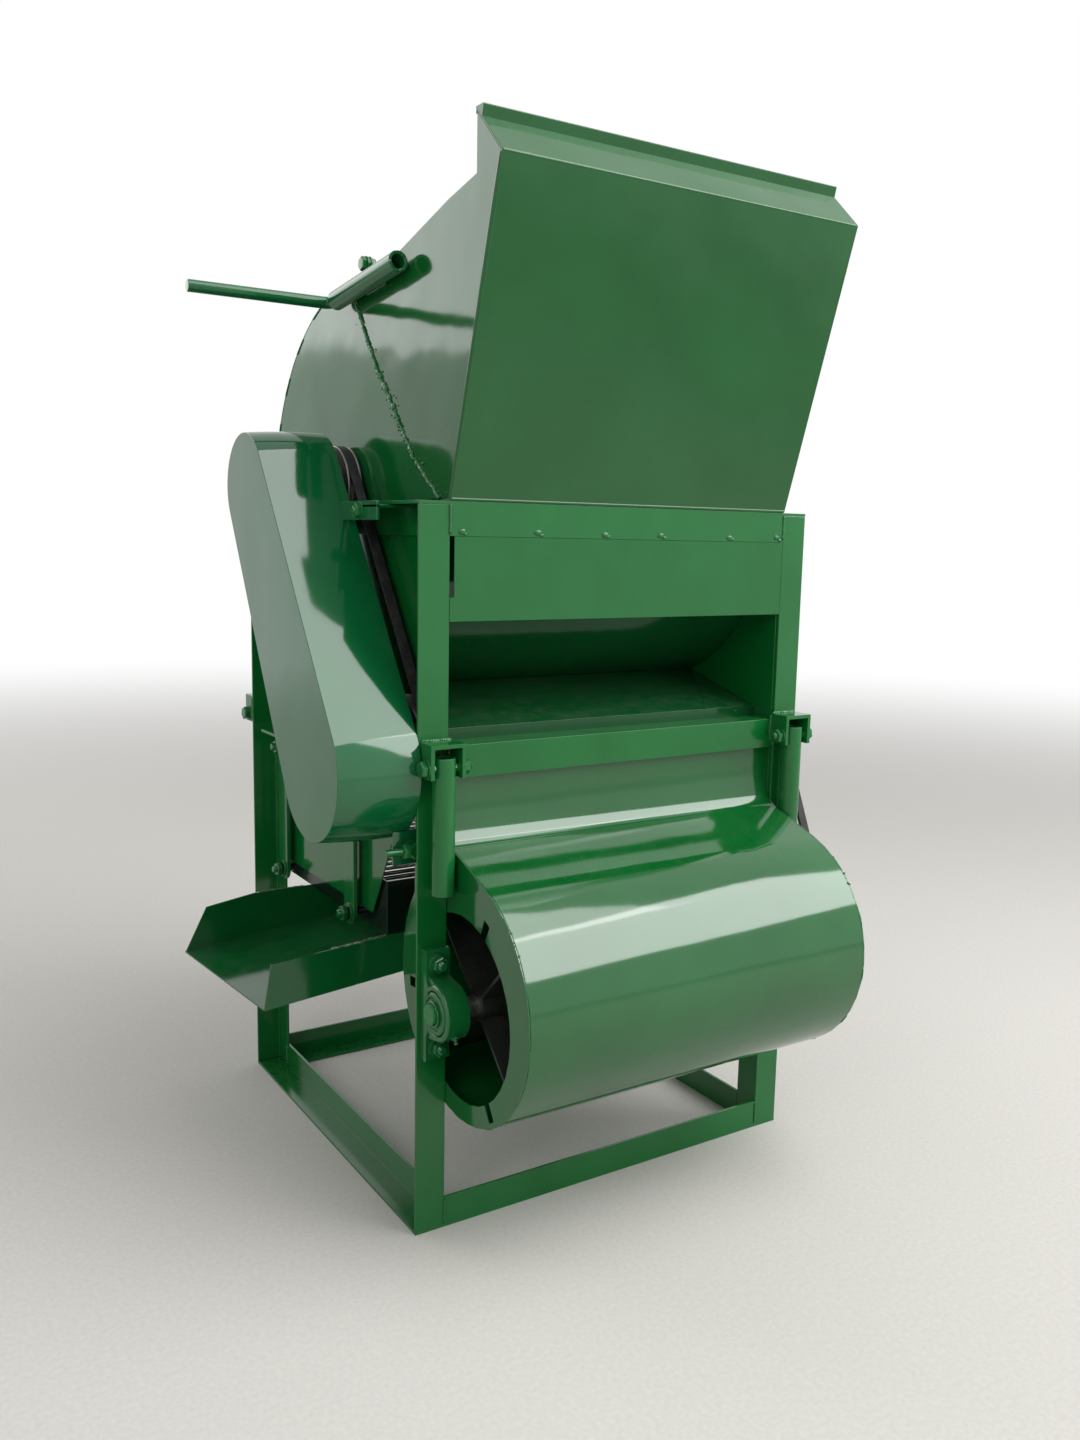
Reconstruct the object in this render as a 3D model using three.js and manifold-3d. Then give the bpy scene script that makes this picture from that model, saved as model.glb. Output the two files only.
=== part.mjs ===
// Peanut picking machine: a spiked drum over a concave sieve, a shaking screen with a side trough and a
// fan at the front, in a welded frame of angle iron. Millimetres; +X runs along the fan to the right,
// +Y to the vine outlet at the back, +Z up. Places are measured from the near left foot's outer corner,
// and the last lines move the origin to the middle of the footprint.
import * as THREE from 'three';
import { mergeVertices } from 'three/addons/utils/BufferGeometryUtils.js';
import Module from 'manifold-3d';

const wasm = await Module();
wasm.setup();

// Fits: the gap between pieces that touch, a running fit round a turning pin, and the overrun of cuts.
const SEAT_GAP = 0.3;
const RUNNING_FIT = 0.4;
const OVERRUN = 3;

// Frame of angle iron. The heights above the fan's floor hang from the frame's top: a DROP lies below it,
// a RISE above it.
const FRAME_WIDTH = 600;
const FRAME_LENGTH = 575;
const FRAME_HEIGHT = 900;
const ANGLE_LEG = 40;
const ANGLE_WALL = 4;
const MID_RAIL_DROP = 340;
const CROSS_RAIL_DROP = 286;

// Body sheets
const SHEET = 2;
const END_SHEET = 3;
const SIDE_SKIRT_DROP = 550;
const SIDE_SKIRT_FRONT = 215;
const FAN_NOTCH_DROP = 395;
const FAN_NOTCH_BACK = 130;
const FRONT_PANEL_DROP = 139;
const FRONT_SLOT_DROP = 111;
const FRONT_SLOT_WIDTH = 6;

// Hopper and hood
const HOPPER_FOOT = 30;
const HOPPER_REACH = 107;
const HOPPER_RISE = 356;
const LIP_REACH = 50;
const LIP_RISE = 412;
const LIP_HEM = 8;
const HOOD_BACK_GAP = 5;
const HOOD_CENTRE_RISE = 3;
const HOOD_FRONT_ANGLE = 88;
// The weld seam between hopper side and end plate: shares of the drum's Y and of the hood's height.
const seamShares = [[0.09, 0.01], [0.32, 0.17], [0.51, 0.39], [0.69, 0.58], [1, 1]];
// The hopper side's top edge behind the lip: shares of the way to the hood and of the drop to its top.
const rimShares = [[0.138, 0.17], [0.302, 0.357], [0.619, 0.829], [1, 1]];

// Picking drum and concave
const DRUM_AHEAD = 0.5;
const DRUM_RISE = 18;
const DRUM_SHAFT_RADIUS = 12.5;
const TOOTH_CLEARANCE = 30;
const TOOTH_ROOT_RADIUS = 6.5;
const TOOTH_END_RADIUS = 4;
const TOOTH_ROWS = 6;
const TEETH_PER_ROW = 6;
const BARREL_WALL = 4;
const BARREL_SIDE_GAP = 36;
const SPIDER_INSET = 24;
const SPIDER_THICKNESS = 6;
const SPIDER_HOLE_RADIUS = 30;
const SPIDER_HOLES = 5;
const HUB_RADIUS = 26;
const CONCAVE_INSET = 13;
const APRON_END_ANGLE = 250;
const GUIDE_END_ANGLE = 248;
const GUIDE_LIP_LAP = 3;
const GUIDE_LIP_RISE = 14;
const SIEVE_END_ANGLE = 315;
const SIEVE_RIB_DEPTH = 20;
const SIEVE_RIB_WIDTH = 5;
const SIEVE_RIBS = 4;
const SIEVE_ROD_RADIUS = 3;
const SIEVE_RODS = 13;

// Bearings: an oval flange unit for the drum and crank, a pillow block for the fan
const FLANGE_BOLT_SPACING = 99;
const FLANGE_END_RADIUS = 15;
const FLANGE_BODY_RADIUS = 34;
const FLANGE_THICKNESS = 13;
const FLANGE_HUB_RADIUS = 24;
const FLANGE_HUB_LENGTH = 26;
const PILLOW_LENGTH = 140;
const PILLOW_WIDTH = 32;
const PILLOW_FOOT = 15;
const PILLOW_BODY_RADIUS = 34;
const PILLOW_CENTRE_HEIGHT = 36.5;
const PILLOW_INSERT_RADIUS = 20;
const PILLOW_INSERT_PROUD = 4;
const PILLOW_INSET = 5;

// Belts and pulleys
const BELT_TOP_WIDTH = 13;
const BELT_BOTTOM_WIDTH = 7.2;
const BELT_HEIGHT = 8;
const GROOVE_EXTRA = 3;
const PULLEY_WIDTH = 20;
const PULLEY_HUB_LENGTH = 6;
const PULLEY_HUB_RADIUS = 22;
const LEFT_BELT_X = 24;
const DRUM_PULLEY_RADIUS = 57;
const CRANK_PULLEY_RADIUS = 76;
const RIGHT_BELT_OFFSET = 17;
const FAN_DRIVE_RADIUS = 95;
const FAN_PULLEY_RADIUS = 40;
const INPUT_PULLEY_RADIUS = 110;
const INPUT_PULLEY_OFFSET = 24;
const SHAFT_END_PROUD = 8;
const RAIL_NOTCH_MARGIN = 8;

// Crankshaft and connecting rod
const CRANK_Y = 84;
const CRANK_DROP = 310;
const CRANK_SHAFT_RADIUS = 10;
const CRANK_THROW = 5;
const ECCENTRIC_RADIUS = 24;
const ECCENTRIC_WIDTH = 16;
const ROD_RING = 8;
const ROD_WIDTH = 14;
const ROD_BAR = 20;
const ROD_PIN_AHEAD = 36;
const ROD_PIN_DEPTH = 16;
const ROD_PIN_RADIUS = 4;
const ROD_PIN_SLACK = 11;
const LUG_THICKNESS = 4;
const LUG_GAP = 4;
const LUG_HEIGHT = 26;
const LUG_REACH = 9;

// Screen, trough and hangers
const SCREEN_SIDE_X = 45;
const SCREEN_FRONT_Y = 178;
const SCREEN_BACK_GAP = 20;
const SCREEN_DROP = 498;
const SCREEN_HEIGHT = 74;
const SCREEN_RODS = 17;
const SCREEN_ROD_RADIUS = 3;
const SCREEN_STRIP_HEIGHT = 12;
const SCREEN_STRIP_WIDTH = 4;
const SCREEN_ROD_DROP = 6;
const TROUGH_BACK_GAP = 125;
const TROUGH_END_FRONT_X = -127;
const TROUGH_END_BACK_X = -149;
const TROUGH_END_DEPTH = 73;
const TROUGH_HEAD_DEPTH = 9.3;
const TROUGH_WALL_HEIGHT = 60;
const TROUGH_LIP_CUT = 10;
const TROUGH_BACK_LIP_CUT = 32;
const HANGER_FRONT_INSET = 84;
const HANGER_BACK_INSET = 39;
const HANGER_PIN_DEPTH = 26;
const HANGER_PIN_HEIGHT = 12;
const HANGER_X = 29;
const HANGER_THICKNESS = 6;
const HANGER_RADIUS = 17;
const HANGER_PIN_RADIUS = 6;
const HANGER_HEAD_RADIUS = 11;
const HANGER_HEAD = 5;
const OPEN_PIVOT_SLACK = 2.5;

// Fan
const FAN_DROP = 598.5;
const FAN_HOUSING_Y = -36;
const FAN_HOUSING_DROP = 583;
const FAN_HOUSING_RADIUS = 156;
const FAN_TONGUE_ANGLE = 38;
const FAN_LEAVE_ANGLE = 109.5;
const DUCT_BEND_Y = -10;
const DUCT_BEND_DROP = 409;
const DUCT_TOP_Y = 8;
const DUCT_TOP_DROP = 297;
const FAN_INLET_RADIUS = 115;
const FAN_SLOT_RADIUS = 136;
const FAN_SLOT_WIDTH = 13;
const FAN_SLOTS = 3;
const FAN_SLOT_ANGLE = -4;
const FAN_SHAFT_RADIUS = 12.5;
const IMPELLER_RADIUS = 130;
const IMPELLER_HUB_RADIUS = 20;
const IMPELLER_SIDE_GAP = 18;
const BLADES = 4;
const BLADE_THICKNESS = 4;

// Belt guard
const GUARD_OUTER_X = -103;
const GUARD_TOP_BACK = 6;
const GUARD_TOP_RADIUS = 72;
const GUARD_BOTTOM_AHEAD = 4;
const GUARD_BOTTOM_DEPTH = 6;
const GUARD_BOTTOM_RADIUS = 91;
const GUARD_BRACKET_FRONT = 76;
const GUARD_BRACKET_TAB = 50;
const GUARD_BRACKET_DEPTH = 23;
const GUARD_BRACKET_REACH = 17;
const GUARD_TAB_Y = 24;
const GUARD_TAB_DROP = 430;
const GUARD_TAB_REACH = 20;

// Carry handles
const HANDLE_X = 24;
const HANDLE_PIVOT_OUT = 20;
const HANDLE_FRONT_DROP = 307;
const HANDLE_BACK_DROP = 323;
const HANDLE_RADIUS = 14;
const HANDLE_WALL = 3;
const HANDLE_ABOVE = 12;
const HANDLE_BELOW = 153;
const HANDLE_PIN_RADIUS = 6;
const BRACKET_HALF_WIDTH = 23;
const BRACKET_WALL = 5;
const BRACKET_DEPTH = 32;
const BRACKET_RISE = 29;
const BRACKET_FALL = 12;

// Lever at the top left
const LEVER_X = 24;
const LEVER_AHEAD = 90;
const LEVER_RISE = 270;
const LEVER_TILT = -5.5;
const SLEEVE_LENGTH = 186;
const SLEEVE_RADIUS = 12.5;
const SLEEVE_BORE_RADIUS = 8.5;
const LEVER_BAR_RADIUS = 7.8;
const LEVER_BAR_START = 70;
const LEVER_ARM_END_X = -167;
const LEVER_BEND = 14;
const LEVER_ARM_GAP = 16;
const SLEEVE_LUG_LENGTH = 60;
const SLEEVE_LUG_HEIGHT = 12;

// Facets
const BIG_ROUND = 32;
const MEDIUM_ROUND = 18;
const SMALL_ROUND = 10;
const ROD_ROUND = 6;
const HEX_SIDES = 6;
const DUCT_BEND_STEPS = 6;
const LEVER_STEPS = 20;

// Places across the machine
const SIDE_INNER = ANGLE_LEG + SEAT_GAP;
const INSIDE_X = SIDE_INNER + SHEET + SEAT_GAP;
const MIDDLE_X = FRAME_WIDTH / 2;
const RIGHT_BELT_X = FRAME_WIDTH + RIGHT_BELT_OFFSET;
const INPUT_BELT_X = RIGHT_BELT_X + INPUT_PULLEY_OFFSET;

// Places along the machine: the drum turns in the middle, as large as the frame's length lets it be
const DRUM_Y = FRAME_LENGTH / 2 - DRUM_AHEAD;
const HOOD_RADIUS = FRAME_LENGTH - DRUM_Y - HOOD_BACK_GAP;
const CONCAVE_RADIUS = HOOD_RADIUS - CONCAVE_INSET;
const TOOTH_TIP_RADIUS = CONCAVE_RADIUS - TOOTH_CLEARANCE;
const BARREL_RADIUS = TOOTH_TIP_RADIUS / 2;
const SCREEN_BACK_Y = FRAME_LENGTH - SCREEN_BACK_GAP;
const TROUGH_BACK_Y = FRAME_LENGTH - TROUGH_BACK_GAP;
const HANGER_FRONT_Y = SCREEN_FRONT_Y + HANGER_FRONT_INSET;
const HANGER_BACK_Y = SCREEN_BACK_Y - HANGER_BACK_INSET;
const ROD_PIN_Y = SCREEN_FRONT_Y - ROD_PIN_AHEAD;
const FAN_Y = -PILLOW_CENTRE_HEIGHT - SEAT_GAP;
const GUARD_TOP_Y = DRUM_Y + GUARD_TOP_BACK;
const GUARD_BOTTOM_Y = CRANK_Y - GUARD_BOTTOM_AHEAD;
const LEVER_Y = DRUM_Y - LEVER_AHEAD;

// Heights
const HOPPER_BASE = FRAME_HEIGHT + SEAT_GAP;
const HOPPER_TOP = FRAME_HEIGHT + HOPPER_RISE;
const LIP_TOP = FRAME_HEIGHT + LIP_RISE;
const HOOD_CENTRE_Z = FRAME_HEIGHT + HOOD_CENTRE_RISE;
const HOOD_TOP = HOOD_CENTRE_Z + HOOD_RADIUS;
const DRUM_Z = FRAME_HEIGHT + DRUM_RISE;
const LEVER_Z = FRAME_HEIGHT + LEVER_RISE;
const FRONT_SLOT_BOTTOM = FRAME_HEIGHT - FRONT_SLOT_DROP;
const FRONT_PANEL_BOTTOM = FRAME_HEIGHT - FRONT_PANEL_DROP;
const CROSS_RAIL_TOP = FRAME_HEIGHT - CROSS_RAIL_DROP;
const MID_RAIL_TOP = FRAME_HEIGHT - MID_RAIL_DROP;
const FAN_NOTCH_TOP = FRAME_HEIGHT - FAN_NOTCH_DROP;
const SIDE_SKIRT_BOTTOM = FRAME_HEIGHT - SIDE_SKIRT_DROP;
const CRANK_Z = FRAME_HEIGHT - CRANK_DROP;
const SCREEN_TOP = FRAME_HEIGHT - SCREEN_DROP;
const SCREEN_BOTTOM = SCREEN_TOP - SCREEN_HEIGHT;
const TROUGH_END_Z = SCREEN_BOTTOM - TROUGH_END_DEPTH;
const HANGER_TOP_Z = MID_RAIL_TOP - HANGER_PIN_DEPTH;
const HANGER_BOTTOM_Z = SCREEN_BOTTOM + HANGER_PIN_HEIGHT;
const ROD_PIN_Z = SCREEN_TOP - ROD_PIN_DEPTH;
const FAN_Z = FRAME_HEIGHT - FAN_DROP;
const FAN_HOUSING_Z = FRAME_HEIGHT - FAN_HOUSING_DROP;
const DUCT_BEND_Z = FRAME_HEIGHT - DUCT_BEND_DROP;
const DUCT_TOP_Z = FRAME_HEIGHT - DUCT_TOP_DROP;
const GUARD_TOP_Z = DRUM_Z;
const GUARD_BOTTOM_Z = CRANK_Z - GUARD_BOTTOM_DEPTH;
const GUARD_TAB_BOTTOM = FRAME_HEIGHT - GUARD_TAB_DROP;
const HANDLE_FRONT_Z = FRAME_HEIGHT - HANDLE_FRONT_DROP;
const HANDLE_BACK_Z = FRAME_HEIGHT - HANDLE_BACK_DROP;

const degrees = THREE.MathUtils.degToRad;
const colours = { green: '#1d6b2e', black: '#171a19', steel: '#9c9f9d', rubber: '#121212', rod: '#c9c9c4' };

const machine = new THREE.Group();

// Points of an arc, angles in degrees
function arc(centre, radius, from, to, steps) {
  return Array.from({ length: steps + 1 }, (_, i) => {
    const angle = degrees(from + (to - from) * i / steps);
    return [centre[0] + radius * Math.cos(angle), centre[1] + radius * Math.sin(angle)];
  });
}

function circle(centre, radius, steps) {
  return arc(centre, radius, 0, 360, steps).slice(0, -1);
}

function box(left, right, bottom, top) {
  return [[left, bottom], [right, bottom], [right, top], [left, top]];
}

// A line moved sideways to its left by a distance, with mitred corners
function offsetLine(line, distance) {
  const normals = line.slice(1).map((point, i) => {
    const along = [point[0] - line[i][0], point[1] - line[i][1]];
    const length = Math.hypot(...along);
    return [-along[1] / length, along[0] / length];
  });
  return line.map((point, i) => {
    const before = normals[Math.max(i - 1, 0)];
    const after = normals[Math.min(i, normals.length - 1)];
    const stretch = distance / (1 + before[0] * after[0] + before[1] * after[1]);
    return [point[0] + (before[0] + after[0]) * stretch, point[1] + (before[1] + after[1]) * stretch];
  });
}

// Outline of a bent sheet that lies to the left of a line
function bentSheet(line, thickness) {
  return [...line, ...offsetLine(line, thickness).reverse()];
}

// Outline round two circles and their outer tangents
function beltLine(first, firstRadius, second, secondRadius, steps) {
  const run = [second[0] - first[0], second[1] - first[1]];
  const towards = THREE.MathUtils.radToDeg(Math.atan2(run[1], run[0]));
  const spread = THREE.MathUtils.radToDeg(Math.acos((firstRadius - secondRadius) / Math.hypot(...run)));
  return [
    ...arc(second, secondRadius, towards - spread, towards + spread, steps),
    ...arc(first, firstRadius, towards + spread, towards + 360 - spread, steps),
  ];
}

function sector(centre, inner, outer, from, to, steps) {
  return [...arc(centre, inner, from, to, steps), ...arc(centre, outer, to, from, steps)];
}

// Merged, closed and with its faces pointing out
function closed(geometry) {
  geometry.deleteAttribute('normal');
  geometry.deleteAttribute('uv');
  const merged = mergeVertices(geometry);
  const place = merged.attributes.position;
  const index = merged.index.array;
  const corner = [new THREE.Vector3(), new THREE.Vector3(), new THREE.Vector3()];
  let volume = 0;
  for (let i = 0; i < index.length; i += 3) {
    corner.forEach((point, k) => point.fromBufferAttribute(place, index[i + k]));
    volume += corner[0].dot(corner[1].cross(corner[2]));
  }
  for (let i = 0; volume < 0 && i < index.length; i += 3) {
    [index[i + 1], index[i + 2]] = [index[i + 2], index[i + 1]];
  }
  return merged;
}

// An outline run along an axis: [y, z] along x, [x, z] along y, [x, y] along z
function prism(outline, axis, from, to, holes = []) {
  const order = (point) => (axis === 'y' ? [point[1], point[0]] : point);
  const points = (line) => line.map((point) => new THREE.Vector2(...order(point)));
  const shape = new THREE.Shape(points(outline));
  shape.holes = holes.map((hole) => new THREE.Path(points(hole)));
  const geometry = new THREE.ExtrudeGeometry(shape, { depth: to - from, bevelEnabled: false, steps: 1 });
  geometry.translate(0, 0, from);
  const x = new THREE.Vector3(1, 0, 0);
  const y = new THREE.Vector3(0, 1, 0);
  const z = new THREE.Vector3(0, 0, 1);
  const turns = { x: [y, z, x], y: [z, x, y], z: [x, y, z] };
  geometry.applyMatrix4(new THREE.Matrix4().makeBasis(...turns[axis]));
  return closed(geometry);
}

function rod(axis, from, to, centre, radius, sides = SMALL_ROUND) {
  return prism(circle(centre, radius, sides), axis, from, to);
}

function block(x, y, z) {
  return prism(box(x[0], x[1], y[0], y[1]), 'z', z[0], z[1]);
}

// A profile of [radius, x] turned about an axis along X
function turned(profile, centre, sides) {
  const points = [...profile, profile[0]].map(([radius, x]) => new THREE.Vector2(radius, x));
  const geometry = new THREE.LatheGeometry(points, sides);
  geometry.rotateZ(-Math.PI / 2);
  geometry.translate(0, centre[0], centre[1]);
  return closed(geometry);
}

function solid(geometry) {
  return new wasm.Manifold(new wasm.Mesh({
    numProp: 3,
    vertProperties: Float32Array.from(geometry.attributes.position.array),
    triVerts: Uint32Array.from(geometry.index.array),
  }));
}

function surface(body) {
  const mesh = body.getMesh();
  const geometry = new THREE.BufferGeometry();
  geometry.setAttribute('position', new THREE.BufferAttribute(Float32Array.from(mesh.vertProperties), 3));
  geometry.setIndex([...mesh.triVerts]);
  return geometry;
}

function join(...pieces) {
  return surface(pieces.map(solid).reduce((whole, piece) => whole.add(piece)));
}

function cut(piece, ...tools) {
  return surface(tools.map(solid).reduce((whole, tool) => whole.subtract(tool), solid(piece)));
}

function common(piece, tool) {
  return surface(solid(piece).intersect(solid(tool)));
}

// The same piece on the other side of the machine's middle plane
function mirrored(geometry) {
  const copy = geometry.clone();
  copy.applyMatrix4(new THREE.Matrix4().makeScale(-1, 1, 1));
  copy.translate(FRAME_WIDTH, 0, 0);
  return closed(copy);
}

// The same piece at the other end of the frame
function reversed(geometry) {
  const copy = geometry.clone();
  copy.applyMatrix4(new THREE.Matrix4().makeScale(1, -1, 1));
  copy.translate(0, FRAME_LENGTH, 0);
  return closed(copy);
}

function add(name, geometry, colour, roughness, metalness) {
  const color = colours[colour];
  const material = new THREE.MeshStandardMaterial({ color, roughness, metalness, flatShading: true });
  const mesh = new THREE.Mesh(geometry, material);
  mesh.name = name;
  machine.add(mesh);
}

const green = (name, geometry) => add(name, geometry, 'green', 0.3, 0);
const black = (name, geometry) => add(name, geometry, 'black', 0.4, 0);
const steel = (name, geometry) => add(name, geometry, 'steel', 0.45, 1);
const rubber = (name, geometry) => add(name, geometry, 'rubber', 0.8, 0);

// A ring of four rails: flat flanges on the outer plane, upright flanges between the legs
function rails(outerZ, innerZ) {
  const flat = [Math.min(outerZ, innerZ), Math.max(outerZ, innerZ)];
  const upright = outerZ > innerZ ? [outerZ - ANGLE_LEG, outerZ] : [outerZ, outerZ + ANGLE_LEG];
  const inside = box(ANGLE_LEG, FRAME_WIDTH - ANGLE_LEG, ANGLE_LEG, FRAME_LENGTH - ANGLE_LEG);
  const plate = prism(box(0, FRAME_WIDTH, 0, FRAME_LENGTH), 'z', flat[0], flat[1], [inside]);
  const sideStart = ANGLE_LEG + SEAT_GAP;
  const side = block([ANGLE_LEG - ANGLE_WALL, ANGLE_LEG], [sideStart, FRAME_LENGTH - sideStart], upright);
  const front = block([sideStart, FRAME_WIDTH - sideStart], [0, ANGLE_WALL], upright);
  return join(plate, side, mirrored(side), front, reversed(front));
}

function addFrame() {
  green('base_frame', rails(0, ANGLE_WALL));
  // The notch clears the left drum pulley and its belt, which leans to the front on its way down
  const notchReach = DRUM_PULLEY_RADIUS + RAIL_NOTCH_MARGIN;
  const lean = Math.atan2(DRUM_Y - CRANK_Y, DRUM_Z - CRANK_Z);
  const beltShift = (DRUM_Z - FRAME_HEIGHT + ANGLE_WALL) * Math.sin(lean);
  const notch = block(
    [-OVERRUN, ANGLE_LEG - ANGLE_WALL],
    [DRUM_Y - (notchReach + beltShift) / Math.cos(lean), DRUM_Y + notchReach],
    [FRAME_HEIGHT - ANGLE_WALL - OVERRUN, FRAME_HEIGHT + OVERRUN],
  );
  green('top_frame', cut(rails(FRAME_HEIGHT, FRAME_HEIGHT - ANGLE_WALL), notch));
  const section = [
    [0, 0], [ANGLE_LEG, 0], [ANGLE_LEG, ANGLE_LEG], [ANGLE_LEG - ANGLE_WALL, ANGLE_LEG],
    [ANGLE_LEG - ANGLE_WALL, ANGLE_WALL], [0, ANGLE_WALL],
  ];
  const standing = ANGLE_WALL + SEAT_GAP;
  const leg = prism(section, 'z', standing, FRAME_HEIGHT - standing);
  green('leg_front_left', leg);
  green('leg_front_right', mirrored(leg));
  green('leg_rear_left', reversed(leg));
  green('leg_rear_right', mirrored(reversed(leg)));
}

// Bolt through an upright plate, out to a head past a hanger: plate face, pivot and head side
function hangerPin(fromX, y, z) {
  const headX = HANGER_X - HANGER_THICKNESS / 2 - SEAT_GAP;
  const shank = rod('x', headX - HANGER_HEAD / 2, fromX, [y, z], HANGER_PIN_RADIUS, SMALL_ROUND);
  const head = rod('x', headX - HANGER_HEAD, headX, [y, z], HANGER_HEAD_RADIUS, HEX_SIDES);
  return join(shank, head);
}

function addMidRails() {
  const ends = [ANGLE_LEG + SEAT_GAP, FRAME_LENGTH - ANGLE_LEG - SEAT_GAP];
  const pulleyBack = CRANK_Y + CRANK_PULLEY_RADIUS + 2 * RAIL_NOTCH_MARGIN;
  const upright = block([ANGLE_LEG - ANGLE_WALL, ANGLE_LEG], ends, [MID_RAIL_TOP - ANGLE_LEG, MID_RAIL_TOP]);
  const flat = block([0, ANGLE_LEG], [pulleyBack, ends[1]], [MID_RAIL_TOP - ANGLE_WALL, MID_RAIL_TOP]);
  const seat = ANGLE_LEG - ANGLE_WALL / 2;
  const pins = [HANGER_FRONT_Y, HANGER_BACK_Y].map((y) => hangerPin(seat, y, HANGER_TOP_Z));
  const rail = join(upright, flat, ...pins);
  green('mid_rail_left', rail);
  green('mid_rail_right', mirrored(rail));
}

function addFrontSheets() {
  const across = [INSIDE_X, FRAME_WIDTH - INSIDE_X];
  const flange = block(across, [0, ANGLE_WALL], [CROSS_RAIL_TOP - ANGLE_LEG, CROSS_RAIL_TOP]);
  const top = block(across, [0, ANGLE_LEG], [CROSS_RAIL_TOP - ANGLE_WALL, CROSS_RAIL_TOP]);
  green('cross_rail', join(flange, top));
  const panelTop = FRAME_HEIGHT - ANGLE_LEG - SEAT_GAP;
  const slotX = SIDE_INNER + FRONT_SLOT_WIDTH;
  const outline = [
    [SIDE_INNER, FRONT_PANEL_BOTTOM], [FRAME_WIDTH - SIDE_INNER, FRONT_PANEL_BOTTOM],
    [FRAME_WIDTH - SIDE_INNER, panelTop], [slotX, panelTop], [slotX, FRONT_SLOT_BOTTOM],
    [SIDE_INNER, FRONT_SLOT_BOTTOM],
  ];
  green('front_panel', prism(outline, 'y', 0, SHEET));
}

function addSidePanels() {
  const front = ANGLE_WALL + SEAT_GAP;
  const back = FRAME_LENGTH - front;
  const top = FRAME_HEIGHT - front;
  const outline = [
    [front, top], [front, FAN_NOTCH_TOP], [FAN_NOTCH_BACK, FAN_NOTCH_TOP],
    [SIDE_SKIRT_FRONT, SIDE_SKIRT_BOTTOM], [back, SIDE_SKIRT_BOTTOM], [back, top],
  ];
  const hole = circle([CRANK_Y, CRANK_Z], CRANK_SHAFT_RADIUS + OVERRUN, SMALL_ROUND);
  const panel = prism(outline, 'x', SIDE_INNER, SIDE_INNER + SHEET, [hole]);
  green('side_panel_left', panel);
  green('side_panel_right', mirrored(panel));
}

// The hopper front's outer line from its foot on the top rail up to the hem of the lip
const hopperLine = [
  [HOPPER_FOOT, HOPPER_BASE], [0, HOPPER_BASE], [-HOPPER_REACH, HOPPER_TOP], [-LIP_REACH, LIP_TOP],
  [-LIP_REACH, LIP_TOP - LIP_HEM],
];
const seamLine = seamShares.map(([y, z]) => [DRUM_Y * y, HOPPER_BASE + (HOOD_TOP - HOPPER_BASE) * z]);

function addHopper() {
  green('hopper_front', prism(bentSheet(hopperLine, -SHEET), 'x', ANGLE_LEG, FRAME_WIDTH - ANGLE_LEG));
  const edge = offsetLine(hopperLine.slice(1, 4), -SHEET - SEAT_GAP);
  const foot = HOPPER_BASE + SHEET + SEAT_GAP;
  const rim = rimShares.map(([along, drop]) => [
    -HOPPER_REACH + (DRUM_Y + HOPPER_REACH) * along,
    HOPPER_TOP - (HOPPER_TOP - HOOD_TOP) * drop,
  ]);
  const seam = offsetLine(seamLine, SEAT_GAP / 2).map(([y, z]) => [y, Math.max(z, foot)]);
  const hemY = -LIP_REACH - SHEET - SEAT_GAP;
  const hemShare = (hemY - edge[1][0]) / (edge[2][0] - edge[1][0]);
  const hemCorner = [hemY, edge[1][1] + (edge[2][1] - edge[1][1]) * hemShare];
  const outline = [[edge[0][0], foot], edge[1], hemCorner, ...rim.slice(0, -1), ...seam.reverse()];
  const side = prism(outline, 'x', SIDE_INNER, SIDE_INNER + END_SHEET);
  green('hopper_side_left', side);
  green('hopper_side_right', mirrored(side));
}

function addCasing() {
  const hoodCentre = [DRUM_Y, HOOD_CENTRE_Z];
  const hoodLine = [
    [DRUM_Y + HOOD_RADIUS, HOPPER_BASE],
    ...arc(hoodCentre, HOOD_RADIUS, 0, HOOD_FRONT_ANGLE, MEDIUM_ROUND),
  ];
  green('drum_hood', prism(bentSheet(hoodLine, SHEET), 'x', ANGLE_LEG, FRAME_WIDTH - ANGLE_LEG));
  const plateRadius = HOOD_RADIUS - SHEET - SEAT_GAP;
  const seam = offsetLine(seamLine, -SEAT_GAP / 2).map(([y, z]) => [y, Math.max(z, HOPPER_BASE)]);
  const round = arc(hoodCentre, plateRadius, HOOD_FRONT_ANGLE, 0, MEDIUM_ROUND);
  const outline = [...seam, ...round, [DRUM_Y + plateRadius, HOPPER_BASE]];
  const foot = hopperFootCut();
  const hole = circle([DRUM_Y, DRUM_Z], DRUM_SHAFT_RADIUS + OVERRUN, MEDIUM_ROUND);
  const plate = cut(prism(outline, 'x', SIDE_INNER, SIDE_INNER + END_SHEET, [hole]), foot);
  green('end_plate_left', plate);
  green('end_plate_right', mirrored(plate));
}

// Room for the hopper front's foot where it runs under the end plates
function hopperFootCut() {
  return block(
    [0, FRAME_WIDTH],
    [-HOPPER_FOOT, HOPPER_FOOT + SEAT_GAP],
    [HOPPER_BASE - OVERRUN, HOPPER_BASE + SHEET + SEAT_GAP],
  );
}

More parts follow.
